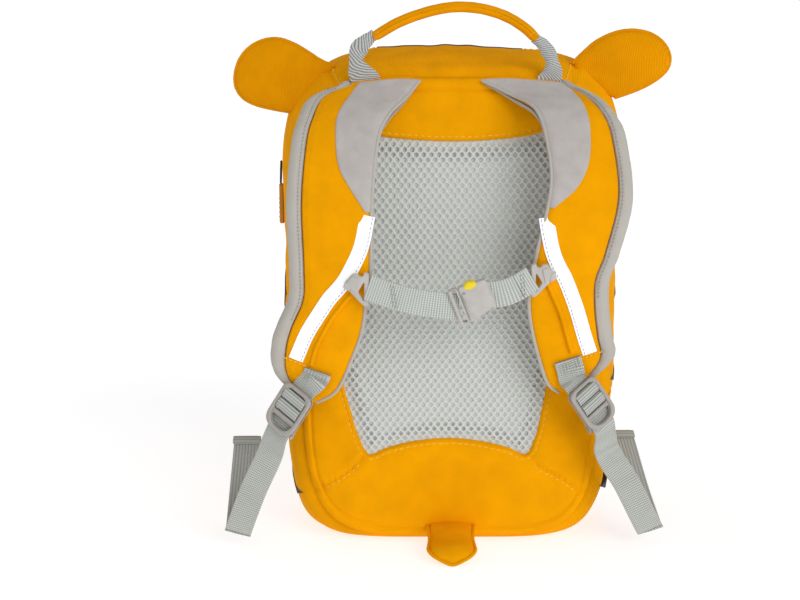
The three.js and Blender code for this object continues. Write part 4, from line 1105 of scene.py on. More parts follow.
def spacer_mesh():
    """A staggered net of oval holes over a ground tinted darker: painted shade in the holes."""
    shape = Shape()
    left = min(p.x for p in OUTLINE)
    right = max(p.x for p in OUTLINE)
    low = min(p.z for p in OUTLINE)
    high = max(p.z for p in OUTLINE)
    columns = int((right - left) / HOLE_WIDE) + 2
    lines = int((high - low) / HOLE_HIGH) + 1
    depth_cache = {}

    def face_at(x, z):
        key = (round(x / 1.3), round(z / 0.875))
        if key not in depth_cache:
            depth_cache[key] = spacer_front(x, z)
        return depth_cache[key]

    for j in range(lines):
        for i in range(columns):
            x = left + (i + (0.5 if j % 2 else 0.0)) * HOLE_WIDE
            z = low + (j + 0.5) * HOLE_HIGH
            if not inside_outline(x, z):
                continue
            start = len(shape.points)
            wide = 1.42 + 0.14 * rough(i * 1.7, j * 1.3)
            tall = 1.68 + 0.16 * rough(i * 1.1, j * 2.3, 4.0)
            for size, deep in ((None, 0), (1.22, 0.15), (1.0, 0.5), (0.88, 1.3)):
                for a, b in HOLE_RIM:
                    px, pz = x + a, z + b
                    if size:
                        turn = math.atan2(b, a)
                        px, pz = x + math.cos(turn) * wide * size, z + math.sin(turn) * tall * size
                    shape.points.append(Vector((px, face_at(px, pz) + deep, pz)))
                    shape.uvs.append((px * MM, pz * MM))
            for level in range(3):
                for k in range(12):
                    a = start + level * 12 + k
                    b = start + level * 12 + (k + 1) % 12
                    shape.faces.append((a, b, b + 12, a + 12))
    piece = dress(shape.piece("spacer_net", 80), "spacer", "spacer_mesh", "spacer_panel")
    ground = Shape()
    rings = []
    for t in (1.03, 0.97, 0.85, 0.6, 0.3, 0.05):
        ring = []
        for p in OUTLINE[::3]:
            q = PANEL_CENTRE.lerp(p, t)
            ring.append(Vector((q.x, face_at(q.x, q.z) + 1.2, q.z)))
        rings.append(ring)
    lower = [[Vector((p.x, p.y + 1.2, p.z)) for p in ring] for ring in rings]
    ground.slab(rings, lower, True)
    ground.cap(len(rings) * len(rings[0]) - len(rings[0]), len(rings[0]))
    # the ground takes the darker spacer cloth: painted shade in the holes
    dress(ground.piece("spacer_ground"), "spacer_back_shaded", "spacer_mesh")


back_panel()
spacer_mesh()


def front_panel():
    """The side away from the wearer: one plain rounded panel, pinched at its seam."""
    rings = [0.02, 0.12, 0.24, 0.36, 0.48, 0.58, 0.67, 0.75, 0.82, 0.88, 0.92, 0.95, 0.972, 0.988, 1.0]
    angles = spread(0, 2 * math.pi, 240)[:-1]
    front, back = [], []
    for r in rings:
        line, under = [], []
        for angle in angles:
            edge = skin(angle, 1)
            x, z = edge.x * r, MIDDLE + (edge.z - MIDDLE) * r
            to_seam = (1 - r) * 130
            swell = FRONT_CROWN * (1 - r ** 2.6) + CLOTH
            soft = rough(x * 0.02, z * 0.02, 8.0) * 1.6 + rough(x * 0.06, z * 0.05, 2.2) * 0.5
            pucker = 0.5 * rough(angle * 24, 9.0) * hump(to_seam - 6, 8)
            roll = clamp(1 - to_seam / 6, 0, 1)
            rise = swell + soft * smooth(0, 16, to_seam) + pucker - 1.8 * (1 - math.sqrt(1 - roll * roll))
            line.append(Vector((x, FRONT_SEAM + rise, z)))
            under.append(Vector((x, FRONT_SEAM + rise - CLOTH + 0.3, z)))
        front.append(line)
        back.append(under)
    shape = Shape()
    count = len(angles)
    shape.slab(front, back, True)
    shape.cap(0, count)
    shape.cap(len(rings) * count, count, True)
    shape.uvs = [(p.x * MM, p.z * MM) for p in shape.points]
    piece = dress(shape.piece("front_panel_padding"), "yellow", "yellow_cloth", "front_panel")


front_panel()


# Dark stripes on the gusset

def side_stripe(side, number, row):
    """A curved wedge from the zip towards the back seam, laid over the gusset."""
    start, end = row["reach"], ZIP_BACK - 0.01
    front, back = [], []
    for t in spread(0.02, 1, 26):
        along = mix(start, end, t)
        low, high = (mix(row["point"], row[name], t ** 1.25) for name in ("low", "high"))
        line = spread(side_angle(low, side), side_angle(high, side), 18)
        front.append([on_skin(a, along, 0.8) for a in line])
        back.append([on_skin(a, along, 0.05) for a in line])
    shape = Shape()
    shape.slab(front, back)
    node = f"side_stripe_{side}_{number}"
    dress(shape.piece(f"{node}_cloth"), "dark", "dark_cloth", node)


def top_stripe():
    front, back = [], []
    for t in spread(-0.99, 0.99, 60):
        x = t * TOP_STRIPE_HALF
        angle = math.atan2(1, x / HALF)
        line = spread(mix(TOP_STRIPE_TO, TOP_STRIPE_FROM, 1 - t * t), TOP_STRIPE_TO, 12)
        front.append([on_skin(angle, along, 0.75) for along in line])
        back.append([on_skin(angle, along, 0.05) for along in line])
    shape = Shape()
    shape.slab(front, back)
    dress(shape.piece("top_stripe_cloth"), "dark", "dark_cloth", "top_stripe")


for side in SIDES:
    for i, row in enumerate(SIDE_STRIPES[side]):
        side_stripe(side, i + 1, row)
top_stripe()


# Shoulder straps

class Strap:
    """One shoulder strap, by row of its table, distance from its inner edge and height off its face."""

    def __init__(self, side):
        self.side = side
        self.rows = STRAP_ROWS[side]
        self.last = len(self.rows) - 1
        self.cache = {}

    def value(self, name, at):
        return column(self.rows, "row", name, at)

    def thick(self, at):
        return self.value("pad", at) * STRAP_THICK

    def edge(self, name, at):
        set_back = STRAP_ROLL_BACK * math.sin(math.pi * at / self.last) if name == "outer" else 0
        lift = self.value("lift", at) * STRAP_RISE
        y = BACK_SEAM - BACK_THICK - GAP - 0.15 - self.thick(at) - lift + set_back
        return Vector((self.value(name, at) * HALF, y, self.value(name + "High", at) * HEIGHT))

    def axes(self, at):
        if at not in self.cache:
            def middle(t):
                return (self.edge("inner", t) + self.edge("outer", t)) / 2
            along = (middle(min(at + 0.15, self.last)) - middle(max(at - 0.15, 0))).normalized()
            inner = self.edge("inner", at)
            across = self.edge("outer", at) - inner
            width = across.length
            across /= width
            out = along.cross(across).normalized()
            if out.y > 0:
                out.negate()
            self.cache[at] = (inner, along, across, out, width, self.thick(at))
        return self.cache[at]

    def point(self, at, start, rise):
        inner, _, across, out, width, thick = self.axes(at)
        share = start / width
        crown = STRAP_CROWN * 4 * share * (1 - share) * clamp(1 + rise / thick, 0, 1)
        return inner + across * start + out * (rise + crown)

    def out(self, at):
        return self.axes(at)[3]

    def width(self, at):
        return self.axes(at)[4]

    def deep(self, at):
        return self.axes(at)[5] * STRAP_PAD / STRAP_THICK

    def roll(self, at):
        return min(STRAP_ROLL, self.width(at) * 0.3)

    def face(self, at, start):
        """Height of the padded face: it dips to its stitched edges and creases a little across."""
        inner, outer = 1.6, self.width(at) - self.roll(at)
        a, b = start - inner, outer - start
        soft = min(4.5, (outer - inner) * 0.2)
        dip = 0.45 * self.deep(at)
        rise = 0.0
        for gap in (a, b):
            t = clamp(1 - gap / soft, 0, 1)
            rise -= dip * (1 - math.sqrt(max(1 - t * t, 0)))
        inside = smooth(0, 6, a) * smooth(0, 6, b)
        flow = at * 31
        rise += 0.45 * rough(flow * 0.07, start * 0.05, 1.0) * inside
        rise += 0.3 * rough(flow * 0.33, start * 0.03, 7.0) * (hump(a - 4, 4) + hump(b - 4, 4))
        return rise - 0.45 * hump(b - 2.4, 0.8)

    def on_face(self, at, start, rise=0.0):
        return self.point(at, start, self.face(at, start) + rise)

    def tucked(self, sections):
        """Sections that lead the strap's root into the seam over it."""
        first = sections[0]
        middle = sum(first, Vector()) / len(first)
        lead = []
        for t in (1.0, 0.75, 0.5, 0.25):
            shift = Vector((0, 6.5 * t, 2.4 * t))
            lead.append([p + shift + (middle - p) * (0.12 * t) for p in first])
        return lead + sections


STRAPS = {side: Strap(side) for side in SIDES}
STATIONS = 190


def strap_pad(strap):
    sections = []
    for at in spread(0, strap.last, STATIONS):
        width, deep = strap.width(at), strap.deep(at)
        inner, outer = 1.6, width - strap.roll(at)
        near = [0, 0.25, 0.6, 1.1, 1.8, 2.8, 4.2, 6.0]
        across = [inner + d for d in near] + spread(inner + 7.6, outer - 7.6, 9)
        across += [outer - d for d in reversed(near)]
        across = sorted(clamp(a, inner, outer) for a in across)
        top = [strap.on_face(at, a) for a in across]
        under = [strap.point(at, mix(inner, outer, share), -deep) for share in (1, 0.66, 0.33, 0)]
        sections.append(top + under)
    shape = Shape()
    shape.tube(strap.tucked(sections))
    node = f"strap_{strap.side}"
    piece = dress(shape.piece(f"{node}_padding"), "yellow", "yellow_cloth", node)


def strap_lining(strap):
    """Underside, rolled outer band and inner piping, sewn from one thin cloth."""
    sections, piping, seams, ups = [], [], [], []
    for at in spread(0, strap.last, STATIONS):
        width, thick, deep = strap.width(at), strap.thick(at), strap.deep(at) + 2 * GAP
        roll = strap.roll(at) - GAP
        seam = width - roll
        flow = at * 31
        crease = 0.45 * rough(flow * 0.16, 3.0) + 0.28 * rough(flow * 0.45, 6.0)
        full = 0.25 * rough(flow * 0.06, 1.0)
        loop = [
            strap.point(at, 1.2, -thick * 0.95), strap.point(at, width * 0.5, -thick),
            strap.point(at, width - roll * 0.25, -thick * 0.95),
            strap.point(at, width + 0.3 + full, -thick * 0.55 + crease),
            strap.point(at, width - roll * 0.13, -thick * 0.12 + crease),
            strap.point(at, seam + roll * 0.55, 1.0 + crease + full),
            strap.point(at, seam + roll * 0.25, 0.55 + 0.6 * crease),
            strap.point(at, seam + roll * 0.05, -1.1),
            strap.point(at, seam, -deep * 0.5),
            strap.point(at, seam, -deep * 0.95),
            strap.point(at, width * 0.5, -deep),
            strap.point(at, 1.3, -deep),
            strap.point(at, 0.5, -deep * 0.9),
        ]
        sections.append(through(loop, 44, True))
        piping.append(strap.point(at, 0.75, -strap.deep(at) * 0.3))
        seams.append(strap.point(at, seam + roll * 0.2, 0.42 + 0.5 * crease))
        ups.append(strap.out(at))
    shape = Shape()
    shape.tube(strap.tucked(sections))
    cording(shape, even(piping, 260), even(ups, 260), 1.25, 8, 0.12)
    node = f"strap_lining_{strap.side}"
    dress(shape.piece(f"{node}_cloth"), "lining", "lining", node)
    threads = Shape()
    first, last = 6, int(STATIONS * 0.62)
    stitch_row(threads, seams[first:last], ups[first:last], 1.7, 2.6, 0.32)
    dress(threads.piece(f"{node}_stitches"), "thread_dark", "lining")


def shoulder_patch(strap):
    """Suede over the inner part of the strap, its edges turned down to the face."""
    table = SUEDE_ROWS[strap.side]
    front, back = [], []
    last = table[-1]["row"]
    for at in spread(0.03, last, 90):
        reach = column(table, "row", "reach", at) * strap.width(at)
        line, under = [], []
        for u in [0, 0.02, 0.05, 0.09, 0.15] + spread(0.24, 0.82, 10) + [0.87, 0.92, 0.96, 0.985, 1]:
            start = mix(0.9, reach, u)
            near = min(start - 0.9, reach - start)
            edge = 1 - clamp(near / 1.6, 0, 1)
            nap = 0.25 * rough(start * 0.09, at * 2.6, 12.0)
            rise = SUEDE_THICK * math.sqrt(max(1 - edge * edge, 0.04)) + nap * smooth(0, 5, near)
            rise -= max(strap.face(at, start), -9) * hump(start, 3) * 0.4
            line.append(strap.on_face(at, start, rise + 0.15))
            under.append(strap.on_face(at, start, 0.05))
        front.append(line)
        back.append(under)
    shape = Shape()
    shape.slab(front, back)
    node = f"shoulder_patch_{strap.side}"
    dress(shape.piece(f"{node}_suede"), "suede", "suede", node)


def line_on(strap, table, count, rise):
    """Points of a line along a strap, raised off its face, and the way out at each."""
    points, ups = [], []
    for at in spread(table[0]["row"], table[-1]["row"], count):
        start = column(table, "row", "across", at) * strap.width(at)
        points.append(strap.on_face(at, start, rise))
        ups.append(strap.out(at))
    return points, ups


def reflective_tape(strap):
    points, ups = line_on(strap, TAPE_LINE[strap.side], 120, 0.55)
    front, back, inner = [], [], []
    sign = -1 if strap.side == "left" else 1
    for i, p in enumerate(points):
        side = heading(points, i).cross(ups[i]).normalized()
        if side.x * sign < 0:
            side.negate()
        line, under = [], []
        for v in (-1, -0.95, -0.8, -0.5, -0.15, 0.15, 0.5, 0.8, 0.95, 1):
            droop = 0.3 * abs(v) ** 5 + 0.1 * hump(abs(v) - 0.78, 0.07) - 0.12 * rough(i * 0.09, v, 3.0)
            line.append(p + side * (v * TAPE_WIDTH / 2) + ups[i] * (0.35 - droop))
            under.append(p + side * (v * TAPE_WIDTH / 2) + ups[i] * -0.25)
        front.append(line)
        back.append(under)
        inner.append(p - side * TAPE_WIDTH * 0.36 + ups[i] * 0.3)
    shape = Shape()
    shape.slab(front, back)
    node = f"reflective_tape_{strap.side}"
    dress(shape.piece(f"{node}_strip", 60), "reflective", "reflective", node)
    threads = Shape()
    stitch_row(threads, inner, ups, 2.4, 3.0, 0.24)
    dress(threads.piece(f"{node}_stitches"), "thread_dark", "reflective")
    end = Shape()
    i = len(points) - 1
    side = heading(points, i).cross(ups[i]).normalized()
    low = points[i] + heading(points, i) * 1.6 + ups[i] * 0.2
    stitch_row(end, [low + side * t for t in spread(-8.5, 8.5, 12)], [ups[i]], 2.6, 3.3, 0.4)
    dress(end.piece(f"{node}_end_stitches"), "thread", "yellow_cloth")


def clip_rail(strap):
    """Cloth-covered piping that the chest clip rides on, with the fold that holds it down."""
    points, ups = line_on(strap, RAIL_LINE[strap.side], 150, RAIL_RADIUS * 0.9)
    shape = Shape()
    cording(shape, points, ups, RAIL_RADIUS, 12, 0.1)
    sign = -1 if strap.side == "left" else 1
    front, back = [], []
    for i, p in enumerate(points):
        side = heading(points, i).cross(ups[i]).normalized()
        if side.x * sign < 0:
            side.negate()
        line = [p + side * (0.8 + t * 3.4) + ups[i] * (-0.2 - t) for t in spread(0, 1, 4)]
        front.append(line)
        back.append([q - ups[i] * 0.7 for q in line])
    shape.slab(front, back)
    node = f"clip_rail_{strap.side}"
    dress(shape.piece(f"{node}_piping"), "yellow", "yellow_cloth", node)


for strap in STRAPS.values():
    strap_pad(strap)
    strap_lining(strap)
    shoulder_patch(strap)
    reflective_tape(strap)
    clip_rail(strap)


# Puffed parts: ears and tail

def inflate(piece, voxel, cap, pinned, pressure=4.0):
    """Fills a closed cloth skin with air. pinned says which points, in millimetres, stay where they are."""
    scene = bpy.context.scene
    remesh = piece.modifiers.new("even", "REMESH")
    remesh.mode = "VOXEL"
    remesh.voxel_size = voxel * MM
    piece.data = settled(piece)
    piece.modifiers.clear()
    start = [v.co.copy() for v in piece.data.vertices]
    held = piece.vertex_groups.new(name="held")
    held.add([i for i, p in enumerate(start) if pinned(p / MM)], 1.0, "REPLACE")
    cloth_maker = piece.modifiers.new("cloth", "CLOTH")
    settings = cloth_maker.settings
    settings.vertex_group_mass = "held"
    settings.quality = 5
    settings.mass = 0.2
    settings.tension_stiffness = 12
    settings.compression_stiffness = 12
    settings.shear_stiffness = 6
    settings.bending_stiffness = 0.4
    settings.use_pressure = True
    settings.uniform_pressure_force = pressure
    settings.effector_weights.gravity = 0
    cloth_maker.collision_settings.use_collision = False
    for step in range(1, 21):
        scene.frame_set(step)
    moved = [v.co.copy() for v in settled(piece).vertices]
    piece.modifiers.clear()
    piece.vertex_groups.clear()
    scene.frame_set(1)
    for vertex, old, new in zip(piece.data.vertices, start, moved):
        way = new - old
        if way.length > cap * MM:
            way *= cap * MM / way.length
        vertex.co = old + way
    soften = piece.modifiers.new("soften", "SMOOTH")
    soften.factor = 0.5
    soften.iterations = 2
    finer = piece.modifiers.new("finer", "SUBSURF")
    finer.levels = 1
    finer.render_levels = 1
    piece.data = settled(piece)
    piece.modifiers.clear()
    piece.data.shade_smooth()


LIP_RADIUS = 1.3


def outwards(line, flat_way, centre):
    """At each point of a seam, the way out from a centre, square to the seam and to flat_way."""
    outs = []
    for i, p in enumerate(line):
        out = heading(line, i).cross(flat_way).normalized()
        if out.dot(p - centre) < 0:
            out.negate()
        outs.append(out)
    return outs


def ear(side):
    root_x, root_z, tip_x, tip_z = EAR_PLACE[side]
    root = Vector((root_x * HALF, EAR_ROOT, root_z * HEIGHT))
    axis = Vector(((tip_x - root_x) * HALF, 0, (tip_z - root_z) * HEIGHT)).normalized()
    up = Vector((-axis.z, 0, axis.x)) if axis.x > 0 else Vector((axis.z, 0, -axis.x))

    def spot(along, rise):
        return root + axis * along + up * rise + Vector((0, (along + 8) * EAR_LEAN, 0))

    seam = through([spot(row["along"], row["up"]) for row in EAR_SEAM[side]], 96, True)
    centre = spot(31, 5)
    shape = Shape()
    front, back = [], []
    for r in [0.04] + spread(0.12, 0.9, 9) + [0.94, 0.97, 0.99, 1.0]:
        swell = (EAR_THICK / 2 - 2.2) * (1 - r ** 2.6) ** 0.6 + 1.7
        line, under = [], []
        for p in seam:
            q = centre.lerp(p, r)
            along, rise = (q - root).dot(axis), (q - root).dot(up)
            fold = 2.6 * hump(rise - 10 + along * 0.25, 4.5) * (1 - smooth(4, 34, along)) * (1 - r ** 6)
            line.append(q - Vector((0, max(swell - fold, 0.9), 0)))
            under.append(q + Vector((0, swell, 0)))
        front.append(line)
        back.append(under)
    count = len(seam)
    shape.slab(front, back, True)
    shape.cap(0, count)
    shape.cap(len(front) * count, count, True)
    piece = shape.piece(f"ear_{side}_puffed")
    tree = tree_of(seam)

    def pinned(p):
        return (p - root).dot(axis) < 2 or tree.find(p)[2] < 2.2

    inflate(piece, 2.4, 3.0, pinned)
    # the ears and their seam lips wear the darker yellow twill, painted shade
    dress(piece, "ear", "yellow_cloth", f"ear_{side}")
    edge = through([spot(row["along"], row["up"]) for row in EAR_SEAM[side][:14]], 170)
    sections = []
    for i, (p, out) in enumerate(zip(edge, outwards(edge, DEEPER, centre))):
        size = LIP_RADIUS + 0.12 * rough(i * 0.7, root.x)
        sections.append(round_line(p - out * 0.45 + NEARER * 0.3, out, DEEPER, size, 10, 1.1))
    lip = Shape()
    lip.tube(sections)
    dress(lip.piece(f"ear_{side}_seam"), "ear", "yellow_cloth")


def tail():
    start = BACK_SEAM - BACK_THICK - 1.5
    sections, seam = [], {1: [], -1: []}
    for along in spread(0, 1, 26):
        half = column(TAIL_ROWS, "along", "half", along) * TAIL_WIDTH / 2
        high = column(TAIL_ROWS, "along", "thick", along) * TAIL_THICK / 2
        y = start + 3 - along * (TAIL_LENGTH + 3)
        z = GAP * 2 + high + column(TAIL_ROWS, "along", "high", along) * 9
        sections.append([
            Vector((math.cos(a) * half * 0.95, y, z + math.sin(a) * high * 0.8))
            for a in spread(0, 2 * math.pi, 28)[:-1]
        ])
        for sign in (1, -1):
            seam[sign].append(Vector((sign * half * 0.985, y, z)))
    shape = Shape()
    shape.tube(sections)
    piece = shape.piece("tail_puffed")
    rim = even(seam[1] + list(reversed(seam[-1])), 90)

    def pinned(p):
        return p.y > start - 5 or p.z < 0.7 or min((p - q).length for q in rim) < 2.0

    inflate(piece, 2.4, 2.2, pinned)
    for vertex in piece.data.vertices:
        vertex.co.z = max(vertex.co.z, 0.0)
    dress(piece, "puffed", "yellow_cloth", "tail")
    line = through(seam[1][::2] + list(reversed(seam[-1]))[::2], 150)
    up = Vector((0, 0, 1))
    outs = outwards(line, up, Vector((0, start - TAIL_LENGTH / 2, 0)))
    lip = Shape()
    lip.tube([round_line(p - out * 0.5, out, up, LIP_RADIUS, 10, 0.9) for p, out in zip(line, outs)])
    dress(lip.piece("tail_seam"), "yellow", "yellow_cloth")


for side in SIDES:
    ear(side)
tail()


# Webbing

def ribbon(shape, points, acrosses, width, thick, rib=0.16, lengthwise=False):
    """A woven band, with ribs across it or along it."""
    sections = []
    walked = 0.0
    half = width / 2
    edge = [(-1, -0.4), (-0.985, -0.85), (-0.94, -1)]
    profile = edge + [(u / 10, -1) for u in range(-8, 9, 2)] + [(-u, v) for u, v in reversed(edge)]
    profile += [(u, -v) for u, v in reversed(profile)]
    for i, p in enumerate(points):
        if i:
            walked += (p - points[i - 1]).length
        way = heading(points, i)
        side = acrosses[i] - way * acrosses[i].dot(way)
        side.normalize()
        up = way.cross(side)
        cross = 0.5 + 0.5 * math.cos(2 * math.pi * walked / RIB)
        ring = []
        for u, v in profile:
            relief = 0.0
            if abs(u) < 0.95:
                along = 0.5 + 0.5 * math.cos(2 * math.pi * u * 4.5)
                relief = rib * (along if lengthwise else cross)
            ring.append(p + side * (u * half) + up * (v * thick / 2 + math.copysign(relief, v)))
        sections.append(ring)
    shape.tube(sections)


def lock_axes(side):
    x, z, out_share, axis_x, axis_z = LOCK_PLACE[side]
    down = Vector((axis_x, 0.05, axis_z)).normalized()
    out = (NEARER + down * down.y).normalized()
    across = down.cross(out).normalized()
    turn = Matrix.Rotation(LOCK_TURN * (1 if side == "left" else -1), 3, down)
    out, across = turn @ out, turn @ across
    top = Vector((x * HALF, BACK_SEAM - out_share * STRAP_RISE, z * HEIGHT))
    return top, down, out, across


def running(*sizes):
    """Places along the lock by name, from the sizes of its bars and slots one after the other."""
    places = {}
    reach = 0.0
    for name, size in sizes:
        reach += size
        places[name] = reach
    return places


SLOTS = running(
    ("first", 2.8), ("bar1", 3.2), ("middle", 3.5), ("bar2", 4.4), ("last", 3.5), ("bar3", 3.4),
    ("ring", 3.3),
    ("bottom", 6.0), ("length", 3.4),
)


def lock_point(side, downwards, rise):
    top, down, out, _ = lock_axes(side)
    return top + down * downwards + out * rise


OVER = LOCK_THICK / 2 + GAP + WEB_THICK / 2 + 0.25
TAB_PLACES = {
    "left": rows("back share rise", (2.3, 0.36, 0.9), (2.05, 0.362, 0.9)),
    "right": rows("back share rise", (2.12, 0.36, 0.9), (1.71, 0.38, 0.8), (1.2, 0.41, 2.0)),
}


def strap_tab(side):
    s, strap = SLOTS, STRAPS[side]
    across = lock_axes(side)[3]
    slot_one = (s["first"] + s["bar1"]) / 2
    slot_two = s["middle"] + GAP + WEB_THICK / 2 + 0.15
    points, acrosses = [], []
    for row in TAB_PLACES[side]:
        at = strap.last - row["back"]
        points.append(strap.point(at, strap.width(at) * row["share"], GAP + WEB_THICK / 2 + row["rise"]))
        acrosses.append(across - strap.out(at) * across.dot(strap.out(at)))
    run = (
        (-2.5, -OVER - 0.9), (slot_one - 1, -OVER - 0.35), (slot_one, -1), (slot_one, 1),
        (slot_one + 1.1, OVER),
        (s["middle"] - 0.3, OVER), (slot_two, 1.5), (slot_two, -1.5), (s["middle"] - 0.4, -OVER - 0.1),
        (s["bar1"] + 1, -OVER - 0.1),
    )
    points += [lock_point(side, way, rise) for way, rise in run]
    acrosses += [across] * len(run)
    line, sides = through(points, int(length_of(points) / 0.42), extras=acrosses)
    shape = Shape()
    ribbon(shape, line, sides, WEB_WIDTH, WEB_THICK)
    node = f"strap_tab_{side}"
    dress(shape.piece(f"{node}_webbing"), "webbing", "webbing", node)
    threads = Shape()
    out = strap.out(strap.last - (2.15 if side == "left" else 1.97))
    centre = points[0].lerp(points[1], 0.35) + out * (WEB_THICK / 2 + 0.1)
    way = (points[1] - points[0]).normalized()
    cross = acrosses[0].normalized()
    for reach in (-0.6, 1.0, 2.6, 4.2, 5.8, 7.4):
        row = [centre + way * (reach + 0.35 * rough(t, reach)) + cross * t for t in spread(-7.8, 7.8, 14)]
        stitch_row(threads, row, [out], 1.5, 2.1, 0.33)
    dress(threads.piece(f"{node}_stitches"), "thread_grey", "webbing")


def adjust_webbing(side):
    s = SLOTS
    slot_two = s["bar2"] - GAP - WEB_THICK / 2 - 0.25
    slot_three = (s["last"] + s["bar3"]) / 2
    x, z = WEB_ANCHOR[side]
    seam = Vector((x * HALF, BACK_SEAM + 4, z * HEIGHT))
    low = lock_point(side, s["length"], -OVER - WEB_THICK - 4.5)
    across = lock_axes(side)[3]
    edgewise = Vector((0, 0.9, -0.43))
    run = [seam + Vector((0, 3, -6)), seam, seam.lerp(low, 0.5) + NEARER, low]
    run += [
        lock_point(side, way, rise) for way, rise in (
            (s["ring"], -OVER - WEB_THICK - 1.6), (s["last"], -OVER - WEB_THICK - 0.5),
            (slot_two + 0.6, -OVER - 0.6), (slot_two, -1.3), (slot_two, 1.3), (slot_two + 1.1, OVER + 0.1),
            (s["last"] - 0.5, OVER),
            (slot_three, 1.2), (slot_three, -1.2), (slot_three + 1.3, -OVER - 0.1),
            (s["bottom"], -OVER - 0.6),
            (s["length"] + 3, -OVER - 2),
        )
    ]
    free = [Vector((r["x"] * HALF, BACK_SEAM - r["out"], r["z"] * HEIGHT)) for r in TAIL_WEB[side]]
    level = Vector((-0.965, 0, 0.26)) if side == "left" else Vector((-0.95, 0, -0.31))
    points = run + free
    if across.dot(edgewise) < 0:
        edgewise.negate()
    flat = Vector((-1, 0, 0))
    acrosses = [edgewise, edgewise, edgewise * 0.8 + across * 0.2] + [across] * (len(run) - 3)
    acrosses += [across.lerp(level, 0.5), across.lerp(level, 0.85)] + [level] * (len(free) - 4) + [flat, flat]
    line, sides = through(points, int(length_of(points) / 0.42), extras=acrosses)
    fold = int(length_of(run + free[:4]) / length_of(points) * len(line)) - 4
    shape = Shape()
    ribbon(shape, line[:fold], sides[:fold], WEB_WIDTH, WEB_THICK, 0.2)
    node = f"adjust_webbing_{side}"
    dress(shape.piece(f"{node}_webbing"), "webbing", "webbing", node)
    shape = Shape()
    ribbon(shape, line[fold:], sides[fold:], WEB_WIDTH, WEB_THICK, 0.2, True)
    # the free end is rolled over towards the front and sewn
    end, side_way = line[-1], sides[-1].normalized()
    way = heading(line, len(line) - 1)
    up = way.cross(side_way).normalized()
    if up.y > 0:
        up.negate()
    middle = end + up * (HEM_RADIUS * 0.6) + way * 0.5
    roll = []
    for t in spread(-1, 1, 16):
        size = HEM_RADIUS * (1 - 0.08 * abs(t) ** 8) + 0.1 * rough(t * 4, 3.0)
        roll.append(round_line(middle + side_way * (t * (WEB_WIDTH / 2 + 0.6)), way, up, size, 18, 0.85))
    shape.tube(roll)
    # the free end and its roll take the darker webbing: painted shade
    dress(shape.piece(f"{node}_free_end"), "webbing_long_shaded", "webbing")


for side in SIDES:
    strap_tab(side)
    adjust_webbing(side)


# Hardware

def arc(x, y, radius, start, steps):
    """A quarter of a circle, from a direction in degrees."""
    angles = [math.radians(start + 90 * k / steps) for k in range(steps + 1)]
    return [(x + radius * math.cos(a), y + radius * math.sin(a)) for a in angles]


def round_rect(left, low, right, high, radius, steps=5):
    corners = ((right - radius, low + radius, -90), (right - radius, high - radius, 0),
               (left + radius, high - radius, 90), (left + radius, low + radius, 180))
    loop = []
    for x, y, turn in corners:
        loop += arc(x, y, radius, turn, steps)
    return loop


def oval(x, y, wide, high, count=36):
    return [
        (x + wide * math.cos(2 * math.pi * k / count), y + high * math.sin(2 * math.pi * k / count))
        for k in range(count)
    ]


def plate(loops, thick, bevel, matrix, steps=3):
    """Mesh of a moulded plate with eased edges: the first loop is its outline, the others are holes."""
    curve = bpy.data.curves.new("plate", "CURVE")
    curve.dimensions = "2D"
    curve.fill_mode = "BOTH"
    curve.extrude = (thick / 2 - bevel) * MM
    curve.bevel_depth = bevel * MM
    curve.bevel_resolution = steps
    curve.offset = -bevel * MM
    for loop in loops:
        spline = curve.splines.new("POLY")
        spline.points.add(len(loop) - 1)
        for point, (x, y) in zip(spline.points, loop):
            point.co = (x * MM, y * MM, 0, 1)
        spline.use_cyclic_u = True
    source = placed("plate", curve)
    mesh = settled(source)
    bpy.data.objects.remove(source)
    mesh.transform(matrix)
    return mesh


def joined(name, meshes, sharp=38):
    """One object from several meshes."""
    work = bmesh.new()
    for mesh in meshes:
        work.from_mesh(mesh)
    bmesh.ops.remove_doubles(work, verts=work.verts, dist=2e-6)
    bmesh.ops.recalc_face_normals(work, faces=work.faces)
    mesh = bpy.data.meshes.new(name)
    work.to_mesh(mesh)
    work.free()
    mesh.shade_smooth()
    mesh.set_sharp_from_angle(angle=math.radians(sharp))
    return placed(name, mesh)


def basis(x_way, y_way, z_way, place):
    """Matrix that lays a flat shape along two directions, its face along the third."""
    matrix = Matrix((x_way, y_way, z_way)).transposed().to_4x4()
    matrix.translation = place * MM
    return matrix


def lock_frame(half, length, top=0.0):
    """The frame's outline: eased corners at the top, a round end with the ring at the bottom."""
    loop = []
    for x, turn in ((half - LOCK_CORNER, 0), (-half + LOCK_CORNER, 90)):
        loop += arc(x, -LOCK_CORNER - top, LOCK_CORNER, turn, 8)
    for k in range(17):
        a = math.radians(180 + 180 * k / 16)
        x = half * math.copysign(abs(math.cos(a)) ** 0.75, math.cos(a))
        loop.append((x, -length + 11 + 11 * math.copysign(abs(math.sin(a)) ** 0.75, math.sin(a))))
    return loop


def lock_ring(half, start, end):
    """The ring's hole: straight along the last bar, round below."""
    loop = [(-half + 1.2, -start), (-half + 0.3, -start - 0.5)]
    for k in range(15):
        a = math.radians(186 + 168 * k / 14)
        loop.append((half * 0.98 * math.cos(a), -start - 1 + (end - start) * 0.98 * math.sin(a)))
    return loop + [(half - 0.3, -start - 0.5), (half - 1.2, -start)]


